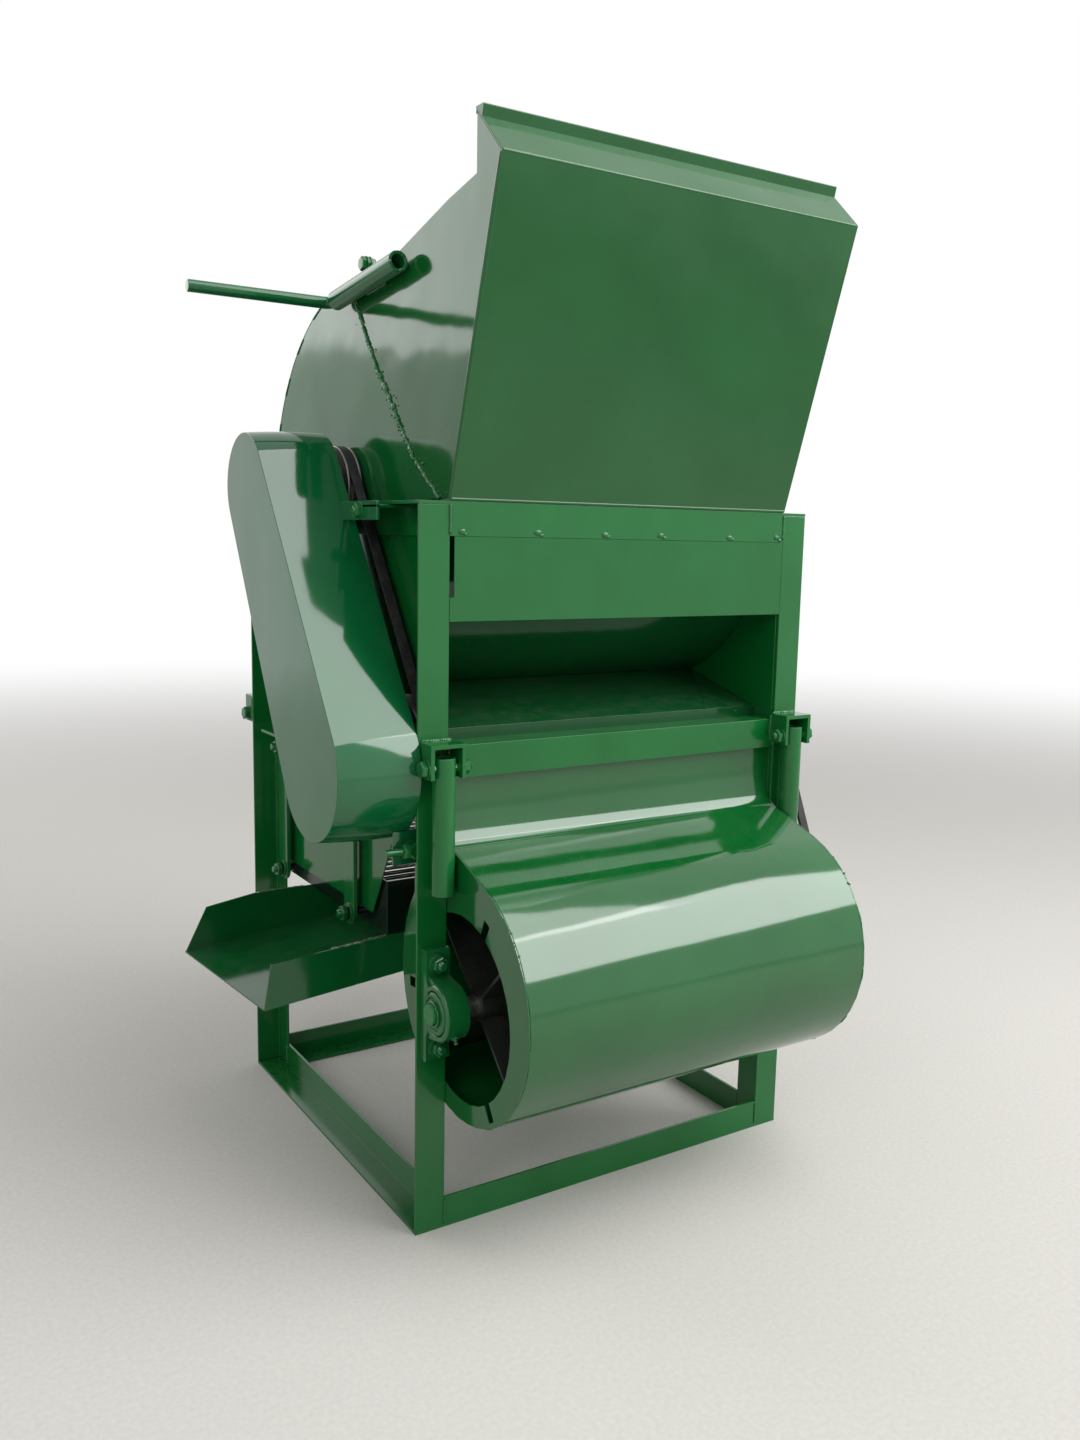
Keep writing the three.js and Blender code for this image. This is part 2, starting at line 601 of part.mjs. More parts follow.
function addConcave() {
  const centre = [DRUM_Y, DRUM_Z];
  const topZ = FRAME_HEIGHT - ANGLE_WALL - 2 * SEAT_GAP;
  const startAngle = 180 + THREE.MathUtils.radToDeg(Math.asin((DRUM_Z - topZ) / (CONCAVE_RADIUS + SHEET)));
  const back = CONCAVE_RADIUS + SHEET;
  const apron = sector(centre, CONCAVE_RADIUS, back, startAngle, APRON_END_ANGLE, MEDIUM_ROUND);
  const inside = [INSIDE_X, FRAME_WIDTH - INSIDE_X];
  green('concave_apron', prism(apron, 'x', inside[0], inside[1]));

  // The guide slopes from a lip behind the cross rail up to the apron's lower end and closes the front
  const lipY = ANGLE_LEG + SEAT_GAP;
  const guideLine = [
    [lipY, CROSS_RAIL_TOP - GUIDE_LIP_LAP], [lipY, CROSS_RAIL_TOP + GUIDE_LIP_RISE],
    arc(centre, CONCAVE_RADIUS, GUIDE_END_ANGLE, GUIDE_END_ANGLE, 1)[0],
  ];
  const room = sector(centre, DRUM_SHAFT_RADIUS, back + SEAT_GAP, startAngle, APRON_END_ANGLE, MEDIUM_ROUND);
  const guide = prism(bentSheet(guideLine, -SHEET), 'x', inside[0], inside[1]);
  green('air_guide', cut(guide, prism(room, 'x', 0, FRAME_WIDTH)));

  const outer = CONCAVE_RADIUS + SIEVE_RIB_DEPTH;
  const barAngle = THREE.MathUtils.radToDeg(SIEVE_RIB_WIDTH / CONCAVE_RADIUS);
  const gapAngle = THREE.MathUtils.radToDeg(SEAT_GAP / CONCAVE_RADIUS);
  const from = APRON_END_ANGLE + gapAngle;
  const rib = sector(centre, CONCAVE_RADIUS, outer, from, SIEVE_END_ANGLE, SMALL_ROUND);
  const pieces = [from, SIEVE_END_ANGLE - barAngle].map((angle) => (
    prism(sector(centre, CONCAVE_RADIUS, outer, angle, angle + barAngle, 1), 'x', inside[0], inside[1])
  ));
  for (let i = 0; i < SIEVE_RIBS; i += 1) {
    const x = inside[0] + (inside[1] - inside[0] - SIEVE_RIB_WIDTH) * i / (SIEVE_RIBS - 1);
    pieces.push(prism(rib, 'x', x, x + SIEVE_RIB_WIDTH));
  }
  const rodCircle = CONCAVE_RADIUS + 2 * SIEVE_ROD_RADIUS;
  const inset = SIEVE_RIB_WIDTH / 2;
  for (let i = 1; i <= SIEVE_RODS; i += 1) {
    const angle = from + (SIEVE_END_ANGLE - from) * i / (SIEVE_RODS + 1);
    const at = arc(centre, rodCircle, angle, angle, 1)[0];
    pieces.push(rod('x', inside[0] + inset, inside[1] - inset, at, SIEVE_ROD_RADIUS, ROD_ROUND));
  }
  steel('concave_sieve', join(...pieces));
}

function addDrum() {
  const centre = [DRUM_Y, DRUM_Z];
  const endReach = PULLEY_WIDTH / 2 + SHAFT_END_PROUD;
  const ends = [LEFT_BELT_X - endReach, INPUT_BELT_X + endReach];
  steel('drum_shaft', rod('x', ends[0], ends[1], centre, DRUM_SHAFT_RADIUS, MEDIUM_ROUND));

  const left = INSIDE_X + BARREL_SIDE_GAP;
  const right = FRAME_WIDTH - left;
  const inner = BARREL_RADIUS - BARREL_WALL;
  const barrel = [[inner, left], [BARREL_RADIUS, left], [BARREL_RADIUS, right], [inner, right]];
  const pieces = [turned(barrel, centre, BIG_ROUND)];
  const bore = circle(centre, DRUM_SHAFT_RADIUS + SEAT_GAP, MEDIUM_ROUND);
  const holeCircle = (inner + HUB_RADIUS) / 2;
  const holes = Array.from({ length: SPIDER_HOLES }, (_, i) => {
    const angle = i * 360 / SPIDER_HOLES;
    return circle(arc(centre, holeCircle, angle, angle, 1)[0], SPIDER_HOLE_RADIUS, SMALL_ROUND);
  });
  for (const x of [left + SPIDER_INSET, right - SPIDER_INSET]) {
    const start = x - SPIDER_THICKNESS / 2;
    const disc = circle(centre, inner + BARREL_WALL / 2, BIG_ROUND);
    pieces.push(prism(disc, 'x', start, start + SPIDER_THICKNESS, [bore, ...holes]));
    const hub = circle(centre, HUB_RADIUS, MEDIUM_ROUND);
    pieces.push(prism(hub, 'x', start - 2 * SPIDER_THICKNESS, start + 3 * SPIDER_THICKNESS, [bore]));
  }
  const length = TOOTH_TIP_RADIUS - inner - BARREL_WALL / 2;
  const pitch = (right - left) / (TEETH_PER_ROW + 1);
  for (let row = 0; row < TOOTH_ROWS; row += 1) {
    for (let i = 0; i < TEETH_PER_ROW; i += 1) {
      const tooth = new THREE.CylinderGeometry(TOOTH_END_RADIUS, TOOTH_ROOT_RADIUS, length, ROD_ROUND);
      tooth.translate(0, TOOTH_TIP_RADIUS - length / 2, 0);
      tooth.rotateX(degrees(360 * row / TOOTH_ROWS));
      const stagger = row % 2 ? pitch / 4 : -pitch / 4;
      tooth.translate(left + pitch * (i + 1) + stagger, centre[0], centre[1]);
      pieces.push(closed(tooth));
    }
  }
  green('picking_drum', join(...pieces));
}

// An oval flange bearing with its flange on a plate at fromX and its hub towards +X
function flangeBearing(fromX, centre, shaftRadius) {
  const ends = [-1, 1].map((side) => [centre[0] + side * FLANGE_BOLT_SPACING / 2, centre[1]]);
  const halves = ends.map((end) => {
    const outline = beltLine(centre, FLANGE_BODY_RADIUS, end, FLANGE_END_RADIUS, SMALL_ROUND);
    return prism(outline, 'x', fromX, fromX + FLANGE_THICKNESS);
  });
  const hubEnd = fromX + FLANGE_HUB_LENGTH;
  const hub = rod('x', fromX, hubEnd, centre, FLANGE_HUB_RADIUS, MEDIUM_ROUND);
  const bore = rod('x', fromX - OVERRUN, hubEnd + OVERRUN, centre, shaftRadius + RUNNING_FIT, MEDIUM_ROUND);
  return cut(join(...halves, hub), bore);
}

function addFlangeBearings() {
  const drumUnit = flangeBearing(SIDE_INNER + END_SHEET + SEAT_GAP, [DRUM_Y, DRUM_Z], DRUM_SHAFT_RADIUS);
  green('drum_bearing_left', drumUnit);
  green('drum_bearing_right', mirrored(drumUnit));
  const crankUnit = flangeBearing(INSIDE_X, [CRANK_Y, CRANK_Z], CRANK_SHAFT_RADIUS);
  green('crank_bearing_left', crankUnit);
  green('crank_bearing_right', mirrored(crankUnit));
}

// Half profile of one V-groove rim: [radius, x] pairs from its left face to its right face
function grooveRim(radius, x) {
  const bottomHalf = BELT_BOTTOM_WIDTH / 2;
  const slope = (BELT_TOP_WIDTH / 2 - bottomHalf) / BELT_HEIGHT;
  const depth = BELT_HEIGHT + GROOVE_EXTRA;
  const topHalf = BELT_TOP_WIDTH / 2 + SEAT_GAP;
  const deepHalf = topHalf - slope * depth;
  return [
    [radius, x - PULLEY_WIDTH / 2], [radius, x - topHalf], [radius - depth, x - deepHalf],
    [radius - depth, x + deepHalf], [radius, x + topHalf], [radius, x + PULLEY_WIDTH / 2],
  ];
}

// A cast V pulley with a hub towards hubSide
function pulley(radius, x, centre, shaftRadius, hubSide) {
  const bore = shaftRadius + SEAT_GAP;
  const left = x - PULLEY_WIDTH / 2;
  const right = x + PULLEY_WIDTH / 2;
  const hubTip = hubSide < 0 ? left - PULLEY_HUB_LENGTH : right + PULLEY_HUB_LENGTH;
  const rim = grooveRim(radius, x);
  const leftFace = hubSide < 0
    ? [[bore, hubTip], [PULLEY_HUB_RADIUS, hubTip], [PULLEY_HUB_RADIUS, left]]
    : [[bore, left]];
  const rightFace = hubSide < 0
    ? [[bore, right]]
    : [[PULLEY_HUB_RADIUS, right], [PULLEY_HUB_RADIUS, hubTip], [bore, hubTip]];
  return turned([...leftFace, ...rim, ...rightFace], centre, BIG_ROUND);
}

// A V-belt round two pulleys: four loops of corners joined into one band
function belt(first, firstRadius, second, secondRadius, x) {
  const corners = [
    [BELT_TOP_WIDTH / 2, 0], [-BELT_TOP_WIDTH / 2, 0],
    [-BELT_BOTTOM_WIDTH / 2, -BELT_HEIGHT], [BELT_BOTTOM_WIDTH / 2, -BELT_HEIGHT],
  ];
  const loops = corners.map(([side, height]) => (
    beltLine(first, firstRadius + height, second, secondRadius + height, MEDIUM_ROUND)
      .map(([y, z]) => [x + side, y, z])
  ));
  const count = loops[0].length;
  const index = [];
  for (let k = 0; k < corners.length; k += 1) {
    const next = (k + 1) % corners.length;
    for (let i = 0; i < count; i += 1) {
      const after = (i + 1) % count;
      index.push(k * count + i, k * count + after, next * count + after);
      index.push(k * count + i, next * count + after, next * count + i);
    }
  }
  const geometry = new THREE.BufferGeometry();
  geometry.setAttribute('position', new THREE.Float32BufferAttribute(loops.flat(2), 3));
  geometry.setIndex(index);
  return closed(geometry);
}

function addDrives() {
  const drum = [DRUM_Y, DRUM_Z];
  const crank = [CRANK_Y, CRANK_Z];
  const fan = [FAN_Y, FAN_Z];
  steel('drum_pulley_left', pulley(DRUM_PULLEY_RADIUS, LEFT_BELT_X, drum, DRUM_SHAFT_RADIUS, -1));
  steel('crank_pulley', pulley(CRANK_PULLEY_RADIUS, LEFT_BELT_X, crank, CRANK_SHAFT_RADIUS, -1));
  rubber('crank_belt', belt(drum, DRUM_PULLEY_RADIUS, crank, CRANK_PULLEY_RADIUS, LEFT_BELT_X));

  const bore = DRUM_SHAFT_RADIUS + SEAT_GAP;
  const stepped = [
    [bore, RIGHT_BELT_X - PULLEY_WIDTH / 2], ...grooveRim(FAN_DRIVE_RADIUS, RIGHT_BELT_X),
    ...grooveRim(INPUT_PULLEY_RADIUS, INPUT_BELT_X), [bore, INPUT_BELT_X + PULLEY_WIDTH / 2],
  ];
  steel('drum_pulley_right', turned(stepped, drum, BIG_ROUND));
  steel('fan_pulley', pulley(FAN_PULLEY_RADIUS, RIGHT_BELT_X, fan, FAN_SHAFT_RADIUS, 1));
  rubber('fan_belt', belt(drum, FAN_DRIVE_RADIUS, fan, FAN_PULLEY_RADIUS, RIGHT_BELT_X));
}

function addCrank() {
  const start = LEFT_BELT_X - PULLEY_WIDTH / 2 - SHAFT_END_PROUD;
  const end = FRAME_WIDTH - INSIDE_X - SEAT_GAP;
  const shaft = rod('x', start, end, [CRANK_Y, CRANK_Z], CRANK_SHAFT_RADIUS, MEDIUM_ROUND);
  const half = ECCENTRIC_WIDTH / 2;
  const throwCentre = [CRANK_Y, CRANK_Z - CRANK_THROW];
  const eccentric = rod('x', MIDDLE_X - half, MIDDLE_X + half, throwCentre, ECCENTRIC_RADIUS, MEDIUM_ROUND);
  steel('crankshaft', join(shaft, eccentric));

  const eye = [ROD_PIN_Y, ROD_PIN_Z - CRANK_THROW];
  const rodHalf = ROD_WIDTH / 2;
  const bigBore = ECCENTRIC_RADIUS + RUNNING_FIT;
  const smallBore = ROD_PIN_RADIUS + ROD_PIN_SLACK;
  const faces = [MIDDLE_X - rodHalf, MIDDLE_X + rodHalf];
  const cuts = [MIDDLE_X - ROD_WIDTH, MIDDLE_X + ROD_WIDTH];
  const bar = prism(beltLine(throwCentre, ROD_BAR / 2, eye, ROD_BAR / 2, ROD_ROUND), 'x', ...faces);
  const ends = [
    rod('x', ...faces, throwCentre, bigBore + ROD_RING, BIG_ROUND),
    rod('x', ...faces, eye, smallBore + ROD_RING, MEDIUM_ROUND),
  ];
  const bores = [
    rod('x', ...cuts, throwCentre, bigBore, MEDIUM_ROUND),
    rod('x', ...cuts, eye, smallBore, MEDIUM_ROUND),
  ];
  steel('connecting_rod', cut(join(bar, ...ends), ...bores));
}

function addScreen() {
  const sides = [SCREEN_SIDE_X, FRAME_WIDTH - SCREEN_SIDE_X];
  const outer = box(sides[0], sides[1], SCREEN_FRONT_Y, SCREEN_BACK_Y);
  const inner = box(sides[0] + SHEET, sides[1] - SHEET, SCREEN_FRONT_Y + SHEET, SCREEN_BACK_Y - SHEET);
  const walls = prism(outer, 'z', SCREEN_BOTTOM, SCREEN_TOP, [inner]);
  const pinRoot = SCREEN_SIDE_X + SHEET / 2;
  const pins = [HANGER_FRONT_Y, HANGER_BACK_Y].map((y) => hangerPin(pinRoot, y, HANGER_BOTTOM_Z));
  const lugInner = ROD_WIDTH / 2 + LUG_GAP;
  const lugs = [MIDDLE_X - lugInner - LUG_THICKNESS, MIDDLE_X + lugInner].map((x) => block(
    [x, x + LUG_THICKNESS],
    [ROD_PIN_Y - LUG_REACH, SCREEN_FRONT_Y + SHEET / 2],
    [ROD_PIN_Z - LUG_HEIGHT / 2, ROD_PIN_Z + LUG_HEIGHT / 2],
  ));
  const pinEnd = lugInner + LUG_THICKNESS / 2;
  const rodPin = rod('x', MIDDLE_X - pinEnd, MIDDLE_X + pinEnd, [ROD_PIN_Y, ROD_PIN_Z], ROD_PIN_RADIUS);
  black('screen_box', join(walls, ...pins, ...pins.map(mirrored), ...lugs, rodPin));

  const gap = SHEET + SEAT_GAP;
  const clear = [SCREEN_FRONT_Y + gap, SCREEN_BACK_Y - gap];
  const rodZ = SCREEN_TOP - SCREEN_ROD_DROP;
  const stripTop = rodZ + SCREEN_ROD_RADIUS;
  const strip = (x) => block([x, x + SCREEN_STRIP_WIDTH], clear, [stripTop - SCREEN_STRIP_HEIGHT, rodZ]);
  const stripX = [sides[0] + gap, MIDDLE_X - SCREEN_STRIP_WIDTH / 2, sides[1] - gap - SCREEN_STRIP_WIDTH];
  const rods = Array.from({ length: SCREEN_RODS }, (_, i) => {
    const y = clear[0] + (clear[1] - clear[0]) * (i + 0.5) / SCREEN_RODS;
    return rod('x', sides[0] + gap, sides[1] - gap, [y, rodZ], SCREEN_ROD_RADIUS, ROD_ROUND);
  });
  add('screen_rods', join(...stripX.map(strip), ...rods), 'rod', 0.3, 1);
}

function addTrough() {
  const right = FRAME_WIDTH - SCREEN_SIDE_X;
  const top = SCREEN_BOTTOM - SEAT_GAP;
  const slope = (top - TROUGH_HEAD_DEPTH - TROUGH_END_Z) / (right - TROUGH_END_FRONT_X);
  const floorZ = (x) => TROUGH_END_Z + (x - TROUGH_END_FRONT_X) * slope;
  const far = TROUGH_END_BACK_X;
  const floor = prism(
    bentSheet([[far, floorZ(far)], [right, floorZ(right)]], SHEET), 'y', SCREEN_FRONT_Y, TROUGH_BACK_Y,
  );
  const frontWall = [
    [TROUGH_END_FRONT_X, floorZ(TROUGH_END_FRONT_X)], [right, floorZ(right)], [right, top],
    [SCREEN_SIDE_X, top], [TROUGH_END_FRONT_X + TROUGH_LIP_CUT, TROUGH_END_Z + TROUGH_WALL_HEIGHT],
  ];
  const backCorner = far + TROUGH_BACK_LIP_CUT;
  const backWall = [
    [far, floorZ(far)], [right, floorZ(right)], [right, top], [SCREEN_SIDE_X, top], [-SCREEN_SIDE_X, top],
    [backCorner, TROUGH_END_Z + TROUGH_WALL_HEIGHT + SHEET],
  ];
  const walls = [
    prism(frontWall, 'y', SCREEN_FRONT_Y, SCREEN_FRONT_Y + SHEET),
    prism(backWall, 'y', TROUGH_BACK_Y - SHEET, TROUGH_BACK_Y),
    block([right - SHEET, right], [SCREEN_FRONT_Y, TROUGH_BACK_Y], [floorZ(right), top]),
  ];
  const plan = [
    [TROUGH_END_FRONT_X, SCREEN_FRONT_Y], [right, SCREEN_FRONT_Y],
    [right, TROUGH_BACK_Y], [far, TROUGH_BACK_Y],
  ];
  const ends = prism(plan, 'z', 0, SCREEN_TOP);
  green('outlet_trough', common(join(floor, ...walls), ends));
}

// A flat bar with an eye at each end, hanging from the mid rail's pin
function hanger(y, lowerBore) {
  const faces = [HANGER_X - HANGER_THICKNESS / 2, HANGER_X + HANGER_THICKNESS / 2];
  const top = [y, HANGER_TOP_Z];
  const bottom = [y, HANGER_BOTTOM_Z];
  const holes = [
    circle(top, HANGER_PIN_RADIUS + RUNNING_FIT, SMALL_ROUND),
    circle(bottom, lowerBore, SMALL_ROUND),
  ];
  const outline = beltLine(bottom, HANGER_RADIUS, top, HANGER_RADIUS, SMALL_ROUND);
  return prism(outline, 'x', faces[0], faces[1], holes);
}

function addHangers() {
  const front = hanger(HANGER_FRONT_Y, HANGER_PIN_RADIUS + RUNNING_FIT);
  const back = hanger(HANGER_BACK_Y, HANGER_PIN_RADIUS + OPEN_PIVOT_SLACK);
  green('hanger_front_left', front);
  green('hanger_front_right', mirrored(front));
  green('hanger_rear_left', back);
  green('hanger_rear_right', mirrored(back));
}

// The scroll's outer line: round from the tongue, up the duct and behind the cross rail
function scrollLine() {
  const centre = [FAN_HOUSING_Y, FAN_HOUSING_Z];
  const round = arc(centre, FAN_HOUSING_RADIUS, FAN_TONGUE_ANGLE, FAN_LEAVE_ANGLE - 360, BIG_ROUND);
  const bend = new THREE.QuadraticBezierCurve(
    new THREE.Vector2(DUCT_BEND_Y, DUCT_BEND_Z),
    new THREE.Vector2(DUCT_TOP_Y, (DUCT_BEND_Z + FAN_NOTCH_TOP) / 2),
    new THREE.Vector2(DUCT_TOP_Y, (DUCT_BEND_Z + DUCT_TOP_Z) / 2),
  );
  const bent = bend.getPoints(DUCT_BEND_STEPS).map((point) => [point.x, point.y]);
  return [...round, ...bent, [DUCT_TOP_Y, DUCT_TOP_Z]];
}

function addFanHousing() {
  const line = scrollLine();
  green('fan_housing', prism(bentSheet(line, -SHEET), 'x', INSIDE_X, FRAME_WIDTH - INSIDE_X));
  const below = line.filter(([, z]) => z < DUCT_BEND_Z + SHEET);
  const outline = [...below, [DUCT_TOP_Y, FAN_NOTCH_TOP - SEAT_GAP], [line[0][0], FAN_NOTCH_TOP - SEAT_GAP]];
  const inlet = rod(
    'x', SIDE_INNER - OVERRUN, SIDE_INNER + SHEET + OVERRUN, [FAN_Y, FAN_Z], FAN_INLET_RADIUS, BIG_ROUND,
  );
  const slots = Array.from({ length: FAN_SLOTS }, (_, i) => {
    const slot = block(
      [SIDE_INNER - OVERRUN, SIDE_INNER + SHEET + OVERRUN],
      [0, FAN_SLOT_RADIUS],
      [-FAN_SLOT_WIDTH / 2, FAN_SLOT_WIDTH / 2],
    );
    slot.rotateX(degrees(FAN_SLOT_ANGLE + 360 * i / FAN_SLOTS));
    slot.translate(0, FAN_Y, FAN_Z);
    return slot;
  });
  const plate = cut(prism(outline, 'x', SIDE_INNER, SIDE_INNER + SHEET), inlet, ...slots);
  green('fan_end_left', plate);
  green('fan_end_right', mirrored(plate));
}

function addFan() {
  const centre = [FAN_Y, FAN_Z];
  const end = RIGHT_BELT_X + PULLEY_WIDTH / 2 + PULLEY_HUB_LENGTH + SHAFT_END_PROUD / 2;
  steel('fan_shaft', rod('x', PILLOW_INSET - SHAFT_END_PROUD, end, centre, FAN_SHAFT_RADIUS, MEDIUM_ROUND));

  const ends = [INSIDE_X + IMPELLER_SIDE_GAP, FRAME_WIDTH - INSIDE_X - IMPELLER_SIDE_GAP];
  const blade = (i) => {
    const root = (FAN_SHAFT_RADIUS + IMPELLER_HUB_RADIUS) / 2;
    const piece = block(ends, [root, IMPELLER_RADIUS], [0, BLADE_THICKNESS]);
    piece.translate(0, 0, -BLADE_THICKNESS / 2);
    piece.rotateX(degrees((i + 0.5) * 360 / BLADES));
    piece.translate(0, FAN_Y, FAN_Z);
    return piece;
  };
  const hub = rod('x', ends[0], ends[1], centre, IMPELLER_HUB_RADIUS, MEDIUM_ROUND);
  const boreRadius = FAN_SHAFT_RADIUS + SEAT_GAP;
  const bore = rod('x', ends[0] - OVERRUN, ends[1] + OVERRUN, centre, boreRadius, MEDIUM_ROUND);
  const blades = Array.from({ length: BLADES }, (_, i) => blade(i));
  steel('fan_impeller', cut(join(hub, ...blades), bore));

  const face = -SEAT_GAP;
  const half = PILLOW_LENGTH / 2;
  const footFace = face - PILLOW_FOOT;
  const tangent = THREE.MathUtils.radToDeg(Math.asin((FAN_Y - footFace) / PILLOW_BODY_RADIUS));
  const outline = [
    [face, FAN_Z - half], [footFace, FAN_Z - half],
    ...arc(centre, PILLOW_BODY_RADIUS, 270 - tangent, 90 + tangent, MEDIUM_ROUND),
    [footFace, FAN_Z + half], [face, FAN_Z + half],
  ];
  const left = PILLOW_INSET;
  const right = left + PILLOW_WIDTH;
  const body = prism(outline, 'x', left, right);
  const insert = rod('x', left - PILLOW_INSERT_PROUD, right, centre, PILLOW_INSERT_RADIUS, MEDIUM_ROUND);
  const holeRadius = FAN_SHAFT_RADIUS + RUNNING_FIT;
  const hole = rod('x', left - PILLOW_WIDTH, right + OVERRUN, centre, holeRadius, MEDIUM_ROUND);
  const unit = cut(join(body, insert), hole);
  green('fan_bearing_left', unit);
  green('fan_bearing_right', mirrored(unit));
}

function addGuard() {
  const top = [GUARD_TOP_Y, GUARD_TOP_Z];
  const bottom = [GUARD_BOTTOM_Y, GUARD_BOTTOM_Z];
  const line = (inset) => (
    beltLine(top, GUARD_TOP_RADIUS - inset, bottom, GUARD_BOTTOM_RADIUS - inset, MEDIUM_ROUND)
  );
  const shell = prism(line(0), 'x', GUARD_OUTER_X, 0);
  const room = prism(line(SHEET), 'x', GUARD_OUTER_X + SHEET, OVERRUN);

  const railUnder = FRAME_HEIGHT - ANGLE_WALL - SEAT_GAP;
  const bracketBack = GUARD_TOP_Y - GUARD_TOP_RADIUS;
  const upright = block(
    [-GUARD_BRACKET_REACH, -GUARD_BRACKET_REACH + ANGLE_WALL],
    [GUARD_BRACKET_FRONT, bracketBack],
    [FRAME_HEIGHT - GUARD_BRACKET_DEPTH, FRAME_HEIGHT],
  );
  const tongue = block(
    [-GUARD_BRACKET_REACH, ANGLE_LEG - ANGLE_WALL - SEAT_GAP],
    [GUARD_BRACKET_FRONT, GUARD_BRACKET_FRONT + GUARD_BRACKET_TAB],
    [railUnder - ANGLE_WALL, railUnder],
  );
  const wallDrop = Math.sqrt(GUARD_BOTTOM_RADIUS ** 2 - (GUARD_BOTTOM_Y - GUARD_TAB_Y) ** 2);
  const tab = block(
    [-GUARD_TAB_REACH, ANGLE_LEG - ANGLE_WALL - SEAT_GAP],
    [GUARD_TAB_Y, GUARD_TAB_Y + ANGLE_WALL],
    [GUARD_TAB_BOTTOM, GUARD_BOTTOM_Z - wallDrop + SHEET],
  );
  const inside = prism(line(SHEET / 2), 'x', GUARD_OUTER_X, OVERRUN);
  green('belt_guard', join(cut(shell, room), cut(join(upright, tongue), inside), cut(tab, inside)));
}

// An inverted U with its pivot bolt, and the tube that hangs in it, on the face y = 0 of a leg
function handleBracket(pivotZ) {
  const back = -SEAT_GAP;
  const outerX = [HANDLE_X - BRACKET_HALF_WIDTH, HANDLE_X + BRACKET_HALF_WIDTH];
  const top = pivotZ + BRACKET_RISE;
  const depth = [back - BRACKET_DEPTH, back];
  const web = block(outerX, depth, [top - BRACKET_WALL, top]);
  const cheeks = [outerX[0], outerX[1] - BRACKET_WALL].map((x) => (
    block([x, x + BRACKET_WALL], depth, [pivotZ - BRACKET_FALL, top - BRACKET_WALL / 2])
  ));
  const centre = [-HANDLE_PIVOT_OUT, pivotZ];
  const pin = rod('x', outerX[0] + BRACKET_WALL / 2, outerX[1] - BRACKET_WALL / 2, centre, HANDLE_PIN_RADIUS);
  return join(web, ...cheeks, pin);
}

function handleTube(pivotZ) {
  const axis = [HANDLE_X, -HANDLE_PIVOT_OUT];
  const bore = circle(axis, HANDLE_RADIUS - HANDLE_WALL, MEDIUM_ROUND);
  const wall = circle(axis, HANDLE_RADIUS, MEDIUM_ROUND);
  const tube = prism(wall, 'z', pivotZ - HANDLE_BELOW, pivotZ + HANDLE_ABOVE, [bore]);
  const hole = rod(
    'x', HANDLE_X - BRACKET_HALF_WIDTH, HANDLE_X + BRACKET_HALF_WIDTH, [-HANDLE_PIVOT_OUT, pivotZ],
    HANDLE_PIN_RADIUS + RUNNING_FIT,
  );
  return cut(tube, hole);
}

function addHandles() {
  const ends = { front: [HANDLE_FRONT_Z, (piece) => piece], rear: [HANDLE_BACK_Z, reversed] };
  for (const [end, [pivotZ, place]] of Object.entries(ends)) {
    const bracket = place(handleBracket(pivotZ));
    const tube = place(handleTube(pivotZ));
    green(`handle_bracket_${end}_left`, bracket);
    green(`handle_bracket_${end}_right`, mirrored(bracket));
    green(`handle_${end}_left`, tube);
    green(`handle_${end}_right`, mirrored(tube));
  }
}

// The pipe on the hopper side and the bent bar that turns in it
function addLever() {
  const half = SLEEVE_LENGTH / 2;
  const toPlace = (geometry) => {
    geometry.rotateX(degrees(LEVER_TILT));
    geometry.translate(LEVER_X, LEVER_Y, LEVER_Z);
    return geometry;
  };
  const pipe = rod('y', -half, half, [0, 0], SLEEVE_RADIUS, MEDIUM_ROUND);
  const lug = block(
    [0, SIDE_INNER - SEAT_GAP - LEVER_X],
    [-SLEEVE_LUG_LENGTH / 2, SLEEVE_LUG_LENGTH / 2],
    [-SLEEVE_LUG_HEIGHT / 2, SLEEVE_LUG_HEIGHT / 2],
  );
  const bore = rod('y', -half - OVERRUN, half + OVERRUN, [0, 0], SLEEVE_BORE_RADIUS, MEDIUM_ROUND);
  green('lever_sleeve', toPlace(cut(join(pipe, lug), bore)));

  const armY = half + LEVER_ARM_GAP;
  const path = new THREE.CurvePath();
  path.add(new THREE.LineCurve3(
    new THREE.Vector3(0, -LEVER_BAR_START, 0),
    new THREE.Vector3(0, armY - LEVER_BEND, 0),
  ));
  path.add(new THREE.QuadraticBezierCurve3(
    new THREE.Vector3(0, armY - LEVER_BEND, 0),
    new THREE.Vector3(0, armY, 0),
    new THREE.Vector3(-LEVER_BEND, armY, 0),
  ));
  path.add(new THREE.LineCurve3(
    new THREE.Vector3(-LEVER_BEND, armY, 0),
    new THREE.Vector3(LEVER_ARM_END_X - LEVER_X, armY, 0),
  ));
  const rim = circle([0, 0], LEVER_BAR_RADIUS, SMALL_ROUND).map(([a, b]) => new THREE.Vector2(a, b));
  const run = { steps: LEVER_STEPS, bevelEnabled: false, extrudePath: path };
  const bar = new THREE.ExtrudeGeometry(new THREE.Shape(rim), run);
  steel('lever_bar', toPlace(closed(bar)));
}

addFrame();
addMidRails();
addFrontSheets();
addSidePanels();
addHopper();
addCasing();
addConcave();
addDrum();
addFlangeBearings();
addDrives();
addCrank();
addScreen();
addTrough();
addHangers();
addFanHousing();
addFan();
addGuard();
addHandles();
addLever();

const bounds = new THREE.Box3().setFromObject(machine);
const footprint = bounds.getCenter(new THREE.Vector3());
machine.position.set(-footprint.x, -footprint.y, -bounds.min.z);
machine.updateMatrixWorld(true);

export default machine;
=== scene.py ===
import math
import random

import bmesh
import bpy
from mathutils import Matrix, Vector
from mathutils.geometry import convex_hull_2d


